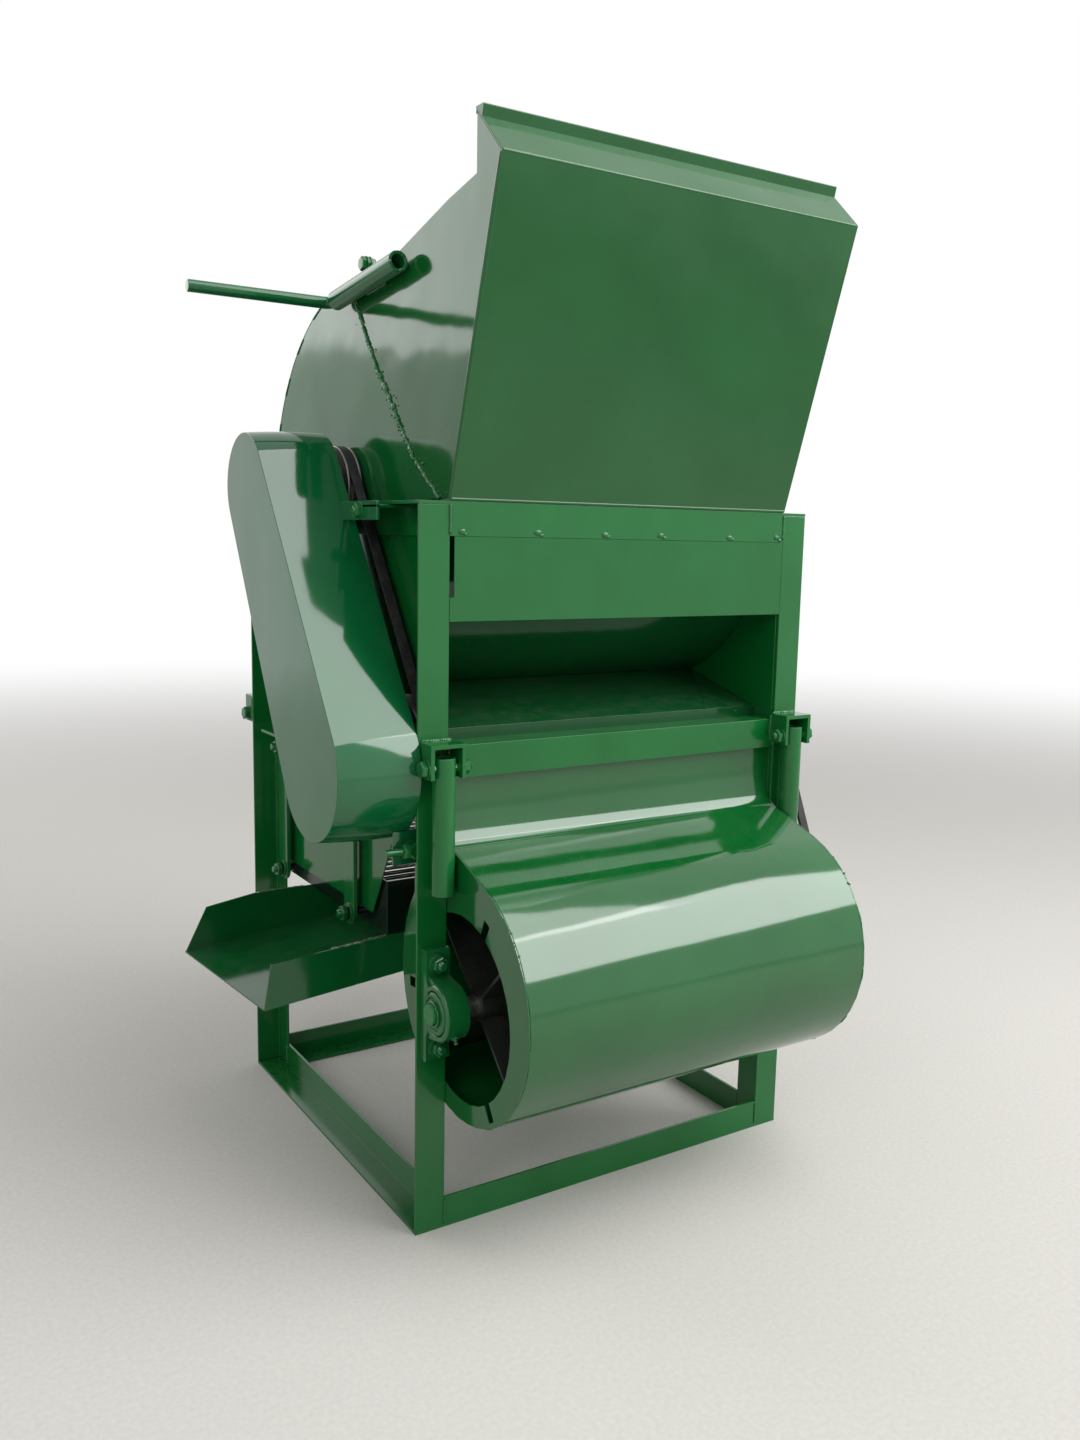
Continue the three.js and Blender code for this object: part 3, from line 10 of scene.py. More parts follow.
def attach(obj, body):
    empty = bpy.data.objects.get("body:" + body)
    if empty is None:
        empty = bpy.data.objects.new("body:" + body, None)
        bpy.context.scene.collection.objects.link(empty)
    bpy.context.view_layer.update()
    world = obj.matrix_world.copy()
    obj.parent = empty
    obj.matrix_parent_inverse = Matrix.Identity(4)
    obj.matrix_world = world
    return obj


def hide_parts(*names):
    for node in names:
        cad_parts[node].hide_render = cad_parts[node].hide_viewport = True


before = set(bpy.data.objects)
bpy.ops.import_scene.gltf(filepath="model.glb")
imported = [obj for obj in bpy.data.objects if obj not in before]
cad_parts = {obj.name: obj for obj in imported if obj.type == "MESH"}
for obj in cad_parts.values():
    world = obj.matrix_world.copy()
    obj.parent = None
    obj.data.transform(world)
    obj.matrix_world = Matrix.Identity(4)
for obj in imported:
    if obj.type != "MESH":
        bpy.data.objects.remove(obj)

scene = bpy.context.scene
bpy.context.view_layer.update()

# The camera stands low in front of the hopper and a little to the left, as the photographer did,
# and looks down slightly at the fan and the belt guard. Metres and degrees; the focal length is in
# pixels of the photograph, of which it is 1440 high.
camera_place = (-0.8711, -1.4521, 0.8614)
camera_heading = -32.53
camera_dip = 8.64
camera_roll = 1.16
focal_pixels = 1206.74
photo_height = 1440
film_height = 36
camera = bpy.data.objects.new("camera", bpy.data.cameras.new("camera"))
scene.collection.objects.link(camera)
camera.matrix_world = (
    Matrix.Translation(camera_place)
    @ Matrix.Rotation(math.radians(camera_heading), 4, "Z")
    @ Matrix.Rotation(math.radians(90 - camera_dip), 4, "X")
    @ Matrix.Rotation(math.radians(camera_roll), 4, "Z")
)
camera.data.sensor_width = film_height
camera.data.lens = film_height * focal_pixels / photo_height
scene.camera = camera
scene.view_settings.view_transform = "Standard"

# A pale swept floor under the machine, which runs out into the white of the backdrop.
# It stands in for the paved yard and only catches the shadow. Its sizes are in metres.
floor_reach = 20
shadow_reach = 1.8
white_reach = 7.0
floor_mesh = bpy.data.meshes.new("floor")
floor_bm = bmesh.new()
bmesh.ops.create_grid(floor_bm, x_segments=8, y_segments=8, size=floor_reach)
floor_bm.to_mesh(floor_mesh)
floor_bm.free()
floor = bpy.data.objects.new("floor", floor_mesh)
scene.collection.objects.link(floor)


def placed(tree, kind, feeds=None, **settings):
    """One shader node with its settings, and values or other nodes' sockets on its inputs."""
    node = tree.nodes.new(kind)
    for setting, value in settings.items():
        setattr(node, setting, value)
    for socket, value in (feeds or {}).items():
        if isinstance(value, bpy.types.NodeSocket):
            tree.links.new(value, node.inputs[socket])
        else:
            node.inputs[socket].default_value = value
    return node


def noise(tree, coords, scale, detail, roughness=0.5):
    """A cloudy pattern over the surface, as a value from 0 to 1."""
    feeds = {"Vector": coords, "Scale": scale, "Detail": detail, "Roughness": roughness}
    return placed(tree, "ShaderNodeTexNoise", feeds).outputs["Fac"]


def mixed(tree, share, first, second):
    """The first colour where the share is 0, and the second where it is 1."""
    feeds = {"Factor": share, "A": first, "B": second}
    return placed(tree, "ShaderNodeMix", feeds, data_type="RGBA").outputs["Result"]


floor_look = bpy.data.materials.new("pale_floor")
floor_look.use_nodes = True
tree = floor_look.node_tree
tree.nodes.clear()
coords = placed(tree, "ShaderNodeTexCoord").outputs["Object"]
grit = noise(tree, coords, 160.0, 6.0)
stone = mixed(tree, grit, (0.48, 0.465, 0.435, 1), (0.61, 0.595, 0.56, 1))
ground = placed(tree, "ShaderNodeBsdfPrincipled", {"Base Color": stone, "Roughness": 0.8})
reach = placed(tree, "ShaderNodeVectorMath", {0: coords}, operation="LENGTH")
fade = placed(tree, "ShaderNodeMapRange", {
    "Value": reach.outputs["Value"], "From Min": shadow_reach, "From Max": white_reach,
}, interpolation_type="SMOOTHSTEP")
far = placed(tree, "ShaderNodeEmission", {"Color": (1, 1, 1, 1), "Strength": 1.0})
blend = placed(tree, "ShaderNodeMixShader", {
    0: fade.outputs["Result"], 1: ground.outputs["BSDF"], 2: far.outputs["Emission"],
})
placed(tree, "ShaderNodeOutputMaterial", {"Surface": blend.outputs["Shader"]})
floor_mesh.materials.append(floor_look)

# Even light of an overcast day: a white sky that the camera and the gloss see, a softer one that
# lights the paint, and four large soft lamps: front right, above, front left and behind.
sky_on_paint = 0.5
sky_seen = 1.0
machine_middle = Vector((0, 0, 0.65))
sky = bpy.data.worlds.new("overcast")
scene.world = sky
sky.use_nodes = True
tree = sky.node_tree
tree.nodes.clear()


def maths(tree, operation, *values, clamp=False):
    """The result of one operation on values or sockets, in their order."""
    feeds = dict(enumerate(values))
    node = placed(tree, "ShaderNodeMath", feeds, operation=operation, use_clamp=clamp)
    return node.outputs["Value"]


def stretched(tree, value, low, high, at_low=0.0, at_high=1.0):
    """A value that goes from at_low to at_high while the given one goes from low to high."""
    feeds = {"Value": value, "From Min": low, "From Max": high, "To Min": at_low, "To Max": at_high}
    return placed(tree, "ShaderNodeMapRange", feeds).outputs["Result"]


rays = placed(tree, "ShaderNodeLightPath").outputs
glass_or_gloss = maths(tree, "MAXIMUM", rays["Is Glossy Ray"], rays["Is Transmission Ray"])
seen = maths(tree, "MAXIMUM", rays["Is Camera Ray"], glass_or_gloss)
strength = stretched(tree, seen, 0.0, 1.0, sky_on_paint, sky_seen)
backdrop = placed(tree, "ShaderNodeBackground", {"Color": (1, 1, 1, 1), "Strength": strength})
placed(tree, "ShaderNodeOutputWorld", {"Surface": backdrop.outputs["Background"]})


def soft_lamp(name, place, watts, width, height):
    """A rectangular lamp that faces the middle of the machine."""
    lamp = bpy.data.objects.new(name, bpy.data.lights.new(name, "AREA"))
    lamp.data.energy = watts
    lamp.data.shape = "RECTANGLE"
    lamp.data.size = width
    lamp.data.size_y = height
    lamp.location = place
    lamp.rotation_mode = "QUATERNION"
    lamp.rotation_quaternion = (Vector(place) - machine_middle).to_track_quat("Z", "Y")
    scene.collection.objects.link(lamp)


soft_lamp("front_right_lamp", (2.0, -2.2, 2.45), watts=88, width=2.6, height=1.9)
soft_lamp("top_lamp", (0.75, -1.3, 3.5), watts=58, width=2.3, height=2.1)
soft_lamp("front_left_lamp", (-2.8, -2.0, 2.2), watts=22, width=1.4, height=1.4)
soft_lamp("back_lamp", (-1.6, 3.0, 2.6), watts=34, width=2.6, height=2.2)

# The frame is welded up from 40 mm angle iron: a ring on the floor, a ring on top, four legs, two
# rails half way up and one across the front. All of it is sprayed with one coat of green enamel.
# From here on sizes are in millimetres from the near left foot's corner; its own place is in metres.
frame_width = 600
frame_depth = 575
frame_height = 900
flange = 40
foot_corner = (-0.246, -0.208425, 0)


def shader_group(name, takes, gives):
    """A node group that materials share, with its named inputs (with their values) and outputs."""
    group = bpy.data.node_groups.new(name, "ShaderNodeTree")
    for label, kind, value in takes:
        socket = group.interface.new_socket(name=label, in_out="INPUT", socket_type="NodeSocket" + kind)
        socket.default_value = value
    for label, kind in gives:
        group.interface.new_socket(name=label, in_out="OUTPUT", socket_type="NodeSocket" + kind)
    return group, group.nodes.new("NodeGroupInput").outputs, group.nodes.new("NodeGroupOutput").inputs


# Sprayed enamel: broad drifts of thicker and thinner colour, sheet metal that isn't quite flat,
# orange peel, and dust where it can lie. Heights are in millimetres.
sprayed, put_in, put_out = shader_group(
    "sprayed_enamel",
    [("Paint", "Color", (0.012, 0.13, 0.03, 1)), ("Thin Paint", "Color", (0.02, 0.18, 0.05, 1)),
     ("Gloss Roughness", "Float", 0.16), ("Sheet Waves", "Float", 0.1),
     ("Orange Peel", "Float", 0.008), ("Dust", "Float", 0.2)],
    [("Color", "Color"), ("Roughness", "Float"), ("Height", "Float")],
)
dust_colour = (0.34, 0.33, 0.27, 1)
dust_dulls = 0.35
coords = placed(sprayed, "ShaderNodeTexCoord").outputs["Object"]
drift = noise(sprayed, coords, 5.0, 4.0, 0.6)
drifted = stretched(sprayed, drift, 0.35, 0.7, 0.0, 0.75)
paint = mixed(sprayed, drifted, put_in["Paint"], put_in["Thin Paint"])
facing = placed(sprayed, "ShaderNodeSeparateXYZ", {
    0: placed(sprayed, "ShaderNodeTexCoord").outputs["Normal"],
})
level = stretched(sprayed, facing.outputs["Z"], 0.6, 0.98)
specks = noise(sprayed, coords, 55.0, 8.0, 0.75)
speckled = stretched(sprayed, specks, 0.42, 0.72)
lying = maths(sprayed, "MULTIPLY", level, speckled)
dusty = maths(sprayed, "MULTIPLY", lying, put_in["Dust"])
settled = mixed(sprayed, dusty, paint, dust_colour)
sprayed.links.new(settled, put_out["Color"])
rub = stretched(sprayed, specks, 0.3, 0.8, -0.01, 0.025)
dulled = maths(sprayed, "MULTIPLY_ADD", dusty, dust_dulls, put_in["Gloss Roughness"])
sheen = maths(sprayed, "ADD", dulled, rub, clamp=True)
sprayed.links.new(sheen, put_out["Roughness"])
waves = noise(sprayed, coords, 9.0, 1.5, 0.4)
peel = noise(sprayed, coords, 330.0, 2.0)
peeled = maths(sprayed, "MULTIPLY", peel, put_in["Orange Peel"])
height = maths(sprayed, "MULTIPLY_ADD", waves, put_in["Sheet Waves"], peeled)
sprayed.links.new(height, put_out["Height"])


def new_finish(name, specular):
    """A material with its own Principled shader and a bump of heights in millimetres."""
    finish = bpy.data.materials.new(name)
    finish.use_nodes = True
    tree = finish.node_tree
    shader = tree.nodes["Principled BSDF"]
    shader.inputs["Specular IOR Level"].default_value = specular
    bump = placed(tree, "ShaderNodeBump", {"Strength": 1.0, "Distance": 0.001})
    tree.links.new(bump.outputs["Normal"], shader.inputs["Normal"])
    return finish, tree, shader, bump


def lay_on(tree, shader, bump, colour, roughness, height):
    """Feeds a material's colour, roughness and relief to its shader and bump."""
    tree.links.new(colour, shader.inputs["Base Color"])
    tree.links.new(roughness, shader.inputs["Roughness"])
    tree.links.new(height, bump.inputs["Height"])


def enamel(name, paint, thin, roughness=0.12, waves=0.1, peel=0.008, dust=0.06, specular=0.5):
    """A material of sprayed enamel, with its colour and the one it has where it lies thin."""
    finish, tree, shader, bump = new_finish(name, specular)
    coat = placed(tree, "ShaderNodeGroup", {
        "Paint": (*paint, 1), "Thin Paint": (*thin, 1), "Gloss Roughness": roughness,
        "Sheet Waves": waves, "Orange Peel": peel, "Dust": dust,
    }, node_tree=sprayed)
    lay_on(tree, shader, bump, coat.outputs["Color"], coat.outputs["Roughness"], coat.outputs["Height"])
    return finish


def soften(piece, rounding):
    """Breaks the sharp edges of a piece and evens the shading over its flats and rounds."""
    if rounding:
        edges = piece.modifiers.new("broken_edges", "BEVEL")
        edges.width = rounding
        edges.segments = 2
        edges.limit_method = "ANGLE"
        edges.angle_limit = math.radians(32)
        edges.miter_outer = "MITER_ARC"
    evened = piece.modifiers.new("even_shading", "WEIGHTED_NORMAL")
    evened.weight = 60


def dress(names, finish, rounding=0.0005):
    """Gives the model's own solids their finish and broken edges, rounded in metres."""
    for name in names:
        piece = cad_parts[name]
        for slot in piece.material_slots:
            slot.material = finish
        piece.data.shade_smooth()
        joined = piece.modifiers.new("joined_corners", "WELD")
        joined.merge_threshold = 0.00002
        soften(piece, rounding)


frame_enamel = enamel(
    "frame_enamel", (0.003, 0.105, 0.018), (0.007, 0.145, 0.030), roughness=0.14, waves=0.05, peel=0.012,
)
dress(
    ["base_frame", "top_frame", "leg_front_left", "leg_front_right", "leg_rear_left", "leg_rear_right",
     "mid_rail_left", "mid_rail_right", "cross_rail"],
    frame_enamel, rounding=0.0009,
)


# The welds of the frame: short runs by hand with a stick electrode, one ripple over the next, where
# each rail butts against a leg. They were painted over with the rest.
def make_piece(name, bm, body, finish, rounding=0.0003, replaces=()):
    """Turns a mesh, drawn in millimetres from the near left foot's corner, into a piece in place."""
    bmesh.ops.recalc_face_normals(bm, faces=bm.faces)
    bm.transform(Matrix.Translation(foot_corner) @ Matrix.Scale(0.001, 4))
    mesh = bpy.data.meshes.new(name)
    bm.to_mesh(mesh)
    bm.free()
    mesh.shade_smooth()
    mesh.materials.append(finish)
    piece = bpy.data.objects.new(name, mesh)
    scene.collection.objects.link(piece)
    soften(piece, rounding)
    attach(piece, body)
    if replaces:
        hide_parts(*replaces)


def both_sides(inset):
    """The left and the right side: name, place across at that inset, and the way outwards."""
    return ("left", inset, -1), ("right", frame_width - inset, 1)


def join_loops(bm, before, after):
    """A band of faces between two closed loops with the same number of corners."""
    for i in range(len(before)):
        bm.faces.new((before[i - 1], before[i], after[i], after[i - 1]))


def close_tube(bm, rings):
    """Joins a row of rings into one skin and closes both of its ends."""
    for before, after in zip(rings, rings[1:]):
        join_loops(bm, before, after)
    bm.faces.new(rings[0])
    bm.faces.new(reversed(rings[-1]))


def add_bead(bm, path, radius, dice, ripple=2.6, wander=0.25):
    """A run of weld along a path: rings of metal that swell with every ripple and wander a little."""
    ring_step = 0.9
    sides = 8
    swell_share = 0.13
    uneven = 0.07
    points = [Vector(point) for point in path]
    lengths = [(after - before).length for before, after in zip(points, points[1:])]
    total = sum(lengths)
    count = max(6, round(total / ring_step))
    rings = []
    phase = dice.uniform(0, 6.28)
    sway = Vector((0, 0, 0))
    for i in range(count + 1):
        along = total * i / count
        left = along
        k = 0
        while k < len(lengths) - 1 and left > lengths[k]:
            left -= lengths[k]
            k += 1
        way = (points[k + 1] - points[k]).normalized()
        sway = sway * 0.9 + Vector([dice.uniform(-wander, wander) for _ in range(3)]) * 0.5
        centre = points[k] + way * left + sway
        swell = 1 + swell_share * math.sin(phase + along * 2 * math.pi / ripple)
        swell += dice.uniform(-uneven, uneven)
        taper = min(1, (min(along, total - along) + 0.6) / (radius * 0.8))
        turn = way.to_track_quat("Z", "Y").to_matrix()
        ring = []
        for j in range(sides):
            angle = j * 2 * math.pi / sides
            offset = Vector((math.cos(angle), math.sin(angle), 0)) * radius * swell * math.sqrt(taper)
            ring.append(bm.verts.new(centre + turn @ offset))
        rings.append(ring)
    close_tube(bm, rings)


def add_upright_bead(bm, x, y, span, radius, dice):
    """A bead that runs straight up, from the lower to the upper end of its span."""
    add_bead(bm, [(x, y, z) for z in span], radius, dice)


weld_enamel = enamel(
    "weld_enamel", (0.004, 0.100, 0.020), (0.012, 0.16, 0.04), roughness=0.16, waves=0.0, peel=0.03, dust=0.0,
)
foot_span = (6, flange - 3)
top_span = (frame_height - 37, frame_height - 4)
mid_rail_span = (523, 555)
cross_rail_span = (576, 612)
front_leg = (-0.3, flange + 0.2)
rear_leg = (frame_depth + 0.3, frame_depth - flange - 0.2)
edge_bead = 1.9
rail_bead = 2.2
cross_bead = 2.4
frame_dice = random.Random(4)
frame_welds = bmesh.new()
for _, edge_x, out in both_sides(flange + 0.2):
    flank_x = edge_x + out * 4.4
    for leg_y, rail_y in (front_leg, rear_leg):
        for span in (foot_span, top_span):
            add_upright_bead(frame_welds, edge_x, leg_y, span, edge_bead, frame_dice)
            add_upright_bead(frame_welds, flank_x, rail_y, span, rail_bead, frame_dice)
        add_upright_bead(frame_welds, flank_x, rail_y, mid_rail_span, rail_bead, frame_dice)
    add_upright_bead(frame_welds, edge_x - out * 1.2, -0.2, cross_rail_span, cross_bead, frame_dice)
make_piece("frame_welds", frame_welds, "machine", weld_enamel, rounding=0)

# The frame is closed with 2 mm sheet: a panel under the top rail at the front and one on each side.
# They are tacked to the angle iron with single spots of weld and sprayed with the frame.
sheet_enamel = enamel(
    "sheet_enamel", (0.002, 0.096, 0.016), (0.005, 0.132, 0.026), roughness=0.09, waves=0.8, peel=0.006,
    dust=0.05,
)
dress(["front_panel", "side_panel_left", "side_panel_right"], sheet_enamel, rounding=0.0004)


def add_tack(bm, place, radius, dice, flat=(1.3, 0.5, 0.85)):
    """One spot of weld: a low lump that is never quite round."""
    centre = Vector(place)
    lump = bmesh.ops.create_icosphere(bm, subdivisions=2, radius=radius, matrix=Matrix.Translation(centre))
    for vert in lump["verts"]:
        offset = vert.co - centre
        uneven = dice.uniform(0.9, 1.1)
        vert.co = centre + Vector([offset[k] * flat[k] * uneven for k in range(3)])


front_tacks_x = (56, 160, 259, 347, 463, 548)
front_tacks_z = 865.5
side_tacks_z = (545, 650, 745, 850)
large_tack = 4.2
small_tack = 2.6
upright = (0.6, 1.0, 1.5)
sheet_dice = random.Random(11)
sheet_tacks = bmesh.new()
for x in front_tacks_x:
    add_tack(sheet_tacks, (x, -0.2, front_tacks_z + sheet_dice.uniform(-1, 1)), large_tack, sheet_dice)
    beside = (x + sheet_dice.uniform(3, 6), -0.3, front_tacks_z - 2.5)
    add_tack(sheet_tacks, beside, small_tack, sheet_dice)
for _, x, out in both_sides(flange - 4):
    for z in side_tacks_z:
        for y in (flange, frame_depth - flange):
            add_tack(sheet_tacks, (x - out * 4.2, y, z), small_tack, sheet_dice, upright)
make_piece("sheet_tacks", sheet_tacks, "machine", weld_enamel, rounding=0)

# The hopper is bent from sheet: a 2 mm front that leans out to a lip with a folded edge, and two
# 3 mm sides that follow the hood. It is welded along the sides by hand, with spatter left on them.
hopper_enamel = enamel(
    "hopper_enamel", (0.003, 0.074, 0.012), (0.006, 0.100, 0.020), roughness=0.09, waves=2.4, peel=0.006,
    dust=0.04,
)
dress(["hopper_front", "hopper_side_left", "hopper_side_right"], hopper_enamel)


def on_circle(centre, radius, angle):
    """The point of a circle at an angle, in the plane that the circle lies in."""
    return centre[0] + radius * math.cos(angle), centre[1] + radius * math.sin(angle)


def circle(centre, radius, count, turn=0.0):
    """A number of points spaced evenly round a circle, the first of them at an angle."""
    return [on_circle(centre, radius, turn + j * 2 * math.pi / count) for j in range(count)]


def add_turned(bm, profile, origin, direction, sides=24, closed=False, turn=0.0):
    """A turned form: pairs of radius and distance along an axis, swept round that axis."""
    spin = Vector(direction).to_track_quat("Z", "Y").to_matrix()
    rings = []
    for radius, along in profile:
        spots = circle((0, 0), radius, sides if radius > 0 else 1, turn)
        rings.append([bm.verts.new(Vector(origin) + spin @ Vector((*spot, along))) for spot in spots])
    pairs = list(zip(rings, rings[1:])) + ([(rings[-1], rings[0])] if closed else [])
    for before, after in pairs:
        for j in range(sides):
            k = (j + 1) % sides
            near = [before[j % len(before)], before[k % len(before)]]
            far = [after[k % len(after)], after[j % len(after)]]
            corners = list(dict.fromkeys(near + far))
            if len(corners) > 2:
                bm.faces.new(corners)


def add_hex(bm, seat, direction, flats, height, turn=0.3):
    """A hexagon head or nut with its corners broken, standing on seat."""
    corner = flats / math.sqrt(3)
    add_turned(bm, [
        (0, 0), (corner * 0.95, 0), (corner, height * 0.1), (corner, height * 0.8),
        (corner * 0.86, height), (flats * 0.3, height + 0.15), (0, height + 0.1),
    ], seat, direction, sides=6, turn=turn)


def add_thread(bm, seat, direction, radius, length, pitch=1.5):
    """A threaded end: one sharp ridge after another, with the tip turned down."""
    profile = [(0, 0)]
    for i in range(int(length / pitch)):
        profile += [(radius - 0.75, i * pitch), (radius, (i + 0.5) * pitch)]
    profile += [(radius - 0.9, length), (radius - 1.8, length + 0.7), (0, length + 0.8)]
    add_turned(bm, profile, seat, direction, sides=20)


def add_bolt(bm, seat, direction, size, tail=0.0):
    """A bolt seen from its head or, with a tail, from its nut: washer, hexagon and thread."""
    flats, height, washer = {10: (16, 6.4, 10), 12: (18, 7.5, 12)}[size]
    way = Vector(direction).normalized()
    add_turned(bm, [
        (0, 0), (washer - 0.2, 0), (washer, 0.25), (washer, 1.3), (washer - 0.3, 1.6), (0, 1.6),
    ], seat, way, sides=28)
    add_hex(bm, Vector(seat) + way * 1.6, way, flats, height, turn=0.35)
    if tail:
        add_thread(bm, Vector(seat) + way * (1.4 + height), way, size / 2, tail)


def between(before, after, share):
    """The point that lies a share of the way from one point to the next."""
    return [a + (b - a) * share for a, b in zip(before, after)]


# The seam of the sides on the hood, and the corner between sides and front: places in depth and height.
seam = [(25.8, 903.2), (91.8, 948.9), (146.4, 1011.7), (198, 1066), (287, 1186)]
corner = [(-1.5, 905), (-30, 1000), (-66, 1120), (-105.5, 1255)]
seam_foot = 905
seam_bead = 2.7
corner_tack = 2.2
fleck_count = 70
fleck_spread = 7
fleck_radii = (0.6, 1.5)
lump_radii = (3.4, 4.6)
hopper_dice = random.Random(7)
hopper_welds = bmesh.new()
for _, x, out in both_sides(flange - 0.1):
    add_bead(hopper_welds, [(x, y, z) for y, z in seam], seam_bead, hopper_dice, ripple=5.5, wander=1.1)
    for before, after in zip(corner, corner[1:]):
        for share in (0.15, 0.7):
            y, z = between(before, after, share)
            spot = (x - out * 0.6, y + 3.4, z)
            add_tack(hopper_welds, spot, corner_tack, hopper_dice, (0.45, 0.7, 2.2))
    for _ in range(fleck_count):
        k = hopper_dice.randrange(len(seam) - 1)
        y, z = between(seam[k], seam[k + 1], hopper_dice.random())
        y += hopper_dice.gauss(0, fleck_spread)
        z += hopper_dice.gauss(0, fleck_spread)
        if z > seam_foot:
            radius = hopper_dice.uniform(*fleck_radii)
            add_tack(hopper_welds, (x + out * 0.2, y, z), radius, hopper_dice, (0.7, 1, 1))
    for share in (0.08, 0.3, 0.52, 0.6, 0.83):
        y, z = between(seam[2], seam[3], share)
        add_tack(hopper_welds, (x, y, z), hopper_dice.uniform(*lump_radii), hopper_dice, (0.7, 1.1, 1.2))
make_piece("hopper_welds", hopper_welds, "machine", weld_enamel, rounding=0)


def add_bar(bm, path, radius):
    """A round bar bent along a path, with broken edges at both ends."""
    spots = [Vector(spot) for spot in path]
    rings = []
    for i, spot in enumerate(spots):
        way = (spots[min(i + 1, len(spots) - 1)] - spots[max(i - 1, 0)]).normalized()
        side = way.cross(Vector((0, 0, 1))).normalized()
        up = side.cross(way)
        thin = radius * (0.86 if i in (0, len(spots) - 1) else 1)
        rings.append([bm.verts.new(spot + side * a + up * b) for a, b in circle((0, 0), thin, 20)])
    close_tube(bm, rings)


def add_slab(bm, outline, axis, low, high, holes=()):
    """A flat plate: its outline and holes lie across the axis, and it runs from low to high along it."""
    def at(pair, along):
        a, b = pair
        return Vector({"x": (along, a, b), "y": (a, along, b), "z": (a, b, along)}[axis])

    edges = []
    for loop in (outline, *holes):
        corners = [bm.verts.new(at(pair, low)) for pair in loop]
        edges += [bm.edges.new((corners[i - 1], corners[i])) for i in range(len(corners))]
    filled = bmesh.ops.triangle_fill(bm, use_beauty=True, use_dissolve=True, edges=edges)
    flats = [item for item in filled["geom"] if isinstance(item, bmesh.types.BMFace)]
    shift = at((0, 0), high - low)
    tops = {}
    for edge in edges:
        for vert in edge.verts:
            if vert not in tops:
                tops[vert] = bm.verts.new(vert.co + shift)
    for flat in flats:
        bm.faces.new([tops[vert] for vert in reversed(flat.verts)])
    for edge in edges:
        start, end = edge.verts
        bm.faces.new((start, end, tops[end], tops[start]))


# The bends of the front sheet are round, and a strip stiffens the upper edge of the lip.
side_bend = [(2.2, 903.4), (-14, 956.5), (-90, 1208.9), (-103.4, 1254)]
side_bend_radius = 3
level_bends = ((1, 902.4, 2.4), (-104.8, 1255.6, 2.3))
lip_strip = [(-63.0, 1297.6), (-66.4, 1310.6), (-65.6, 1311.6), (-50.6, 1311.8), (-50.6, 1308)]
folds = bmesh.new()
for _, x, _ in both_sides(flange + 1.6):
    add_bar(folds, [(x, y, z) for y, z in side_bend], side_bend_radius)
bend_ends = (flange + 1, flange + 2, frame_width - flange - 2, frame_width - flange - 1)
for y, z, radius in level_bends:
    add_bar(folds, [(x, y, z) for x in bend_ends], radius)
add_slab(folds, lip_strip, "x", flange + 0.2, frame_width - flange - 0.2)
make_piece("hopper_folds", folds, "machine", hopper_enamel)

rim_bolt_seat = Vector((flange + 0.3, 232, 1199))
rim_spacer = 3
rim_bolt = bmesh.new()
add_turned(rim_bolt, [
    (0, 0), (8, 0), (9, 0.6), (9, 2.4), (8, rim_spacer), (0, rim_spacer),
], rim_bolt_seat, (1, 0, 0))
add_bolt(rim_bolt, rim_bolt_seat, (-1, 0, 0), 10)
add_bolt(rim_bolt, rim_bolt_seat + Vector((rim_spacer, 0, 0)), (1, 0, 0), 10, tail=8)
make_piece("hopper_rim_bolt", rim_bolt, "machine", weld_enamel, rounding=0.0002)

# The drum turns in a casing: a round hood of 2 mm sheet between two end plates, open under the
# hopper. The hood is stitched to the end plates with short runs of weld.
casing_enamel = enamel(
    "casing_enamel", (0.003, 0.085, 0.017), (0.006, 0.118, 0.027), waves=1.8, peel=0.006, dust=0.08,
)
dress(["drum_hood", "end_plate_left", "end_plate_right"], casing_enamel, rounding=0.0004)
hood_middle = (287, 903)
hood_radius = 280.4
stitch_bead = 1.1
stitch_starts = range(4, 80, 15)
casing_dice = random.Random(23)
casing_welds = bmesh.new()
for _, x, _ in both_sides(flange - 0.1):
    for start in stitch_starts:
        angles = [math.radians(start + step) for step in (0, 2, 4, 6)]
        run = [(x, *on_circle(hood_middle, hood_radius, angle)) for angle in angles]
        add_bead(casing_welds, run, stitch_bead, casing_dice, wander=0.1)
make_piece("casing_welds", casing_welds, "machine", weld_enamel, rounding=0)

# Under the drum lies the concave: a solid apron in front, a sieve of bars and rods behind, and a
# guide sheet that leads the wind. Its green is painted darker than the rest of the machine, as painted
# shade for the hollow under the drum where little light gets in.
concave_shaded_enamel = enamel(
    "concave_shaded_enamel", (0.002, 0.052, 0.012), (0.004, 0.075, 0.018), roughness=0.10, waves=0.5, peel=0.01,
    dust=0.08,
)
dress(["concave_apron", "air_guide", "concave_sieve"], concave_shaded_enamel, rounding=0.0004)

# The picking drum is a rolled barrel on two spoked discs with six rows of steel spikes. The vines
# rub the paint off the tips of the spikes, which run down to bare, scratched steel.
drum_axis = (287, 918)
paint_thins = 0.215
paint_gone = 0.224
edge_raggedness = 0.03
bare_tip = (0.42, 0.41, 0.39, 1)
drum_finish, tree, shader, bump = new_finish("spiked_drum", 0.4)
coords = placed(tree, "ShaderNodeTexCoord").outputs["Object"]
coat = placed(tree, "ShaderNodeGroup", {
    "Paint": (0.008, 0.085, 0.022, 1), "Thin Paint": (0.014, 0.13, 0.04, 1), "Dust": 0.1,
}, node_tree=sprayed)
to_axis = (0, -(drum_axis[0] / 1000 + foot_corner[1]), -drum_axis[1] / 1000)
from_axis = placed(tree, "ShaderNodeVectorMath", {0: coords, 1: to_axis}, operation="ADD")
flat_part = placed(tree, "ShaderNodeVectorMath", {
    0: from_axis.outputs[0], 1: (0, 1, 1),
}, operation="MULTIPLY")
reach = placed(tree, "ShaderNodeVectorMath", {0: flat_part.outputs[0]}, operation="LENGTH")
rough_edge = noise(tree, coords, 120.0, 6.0)
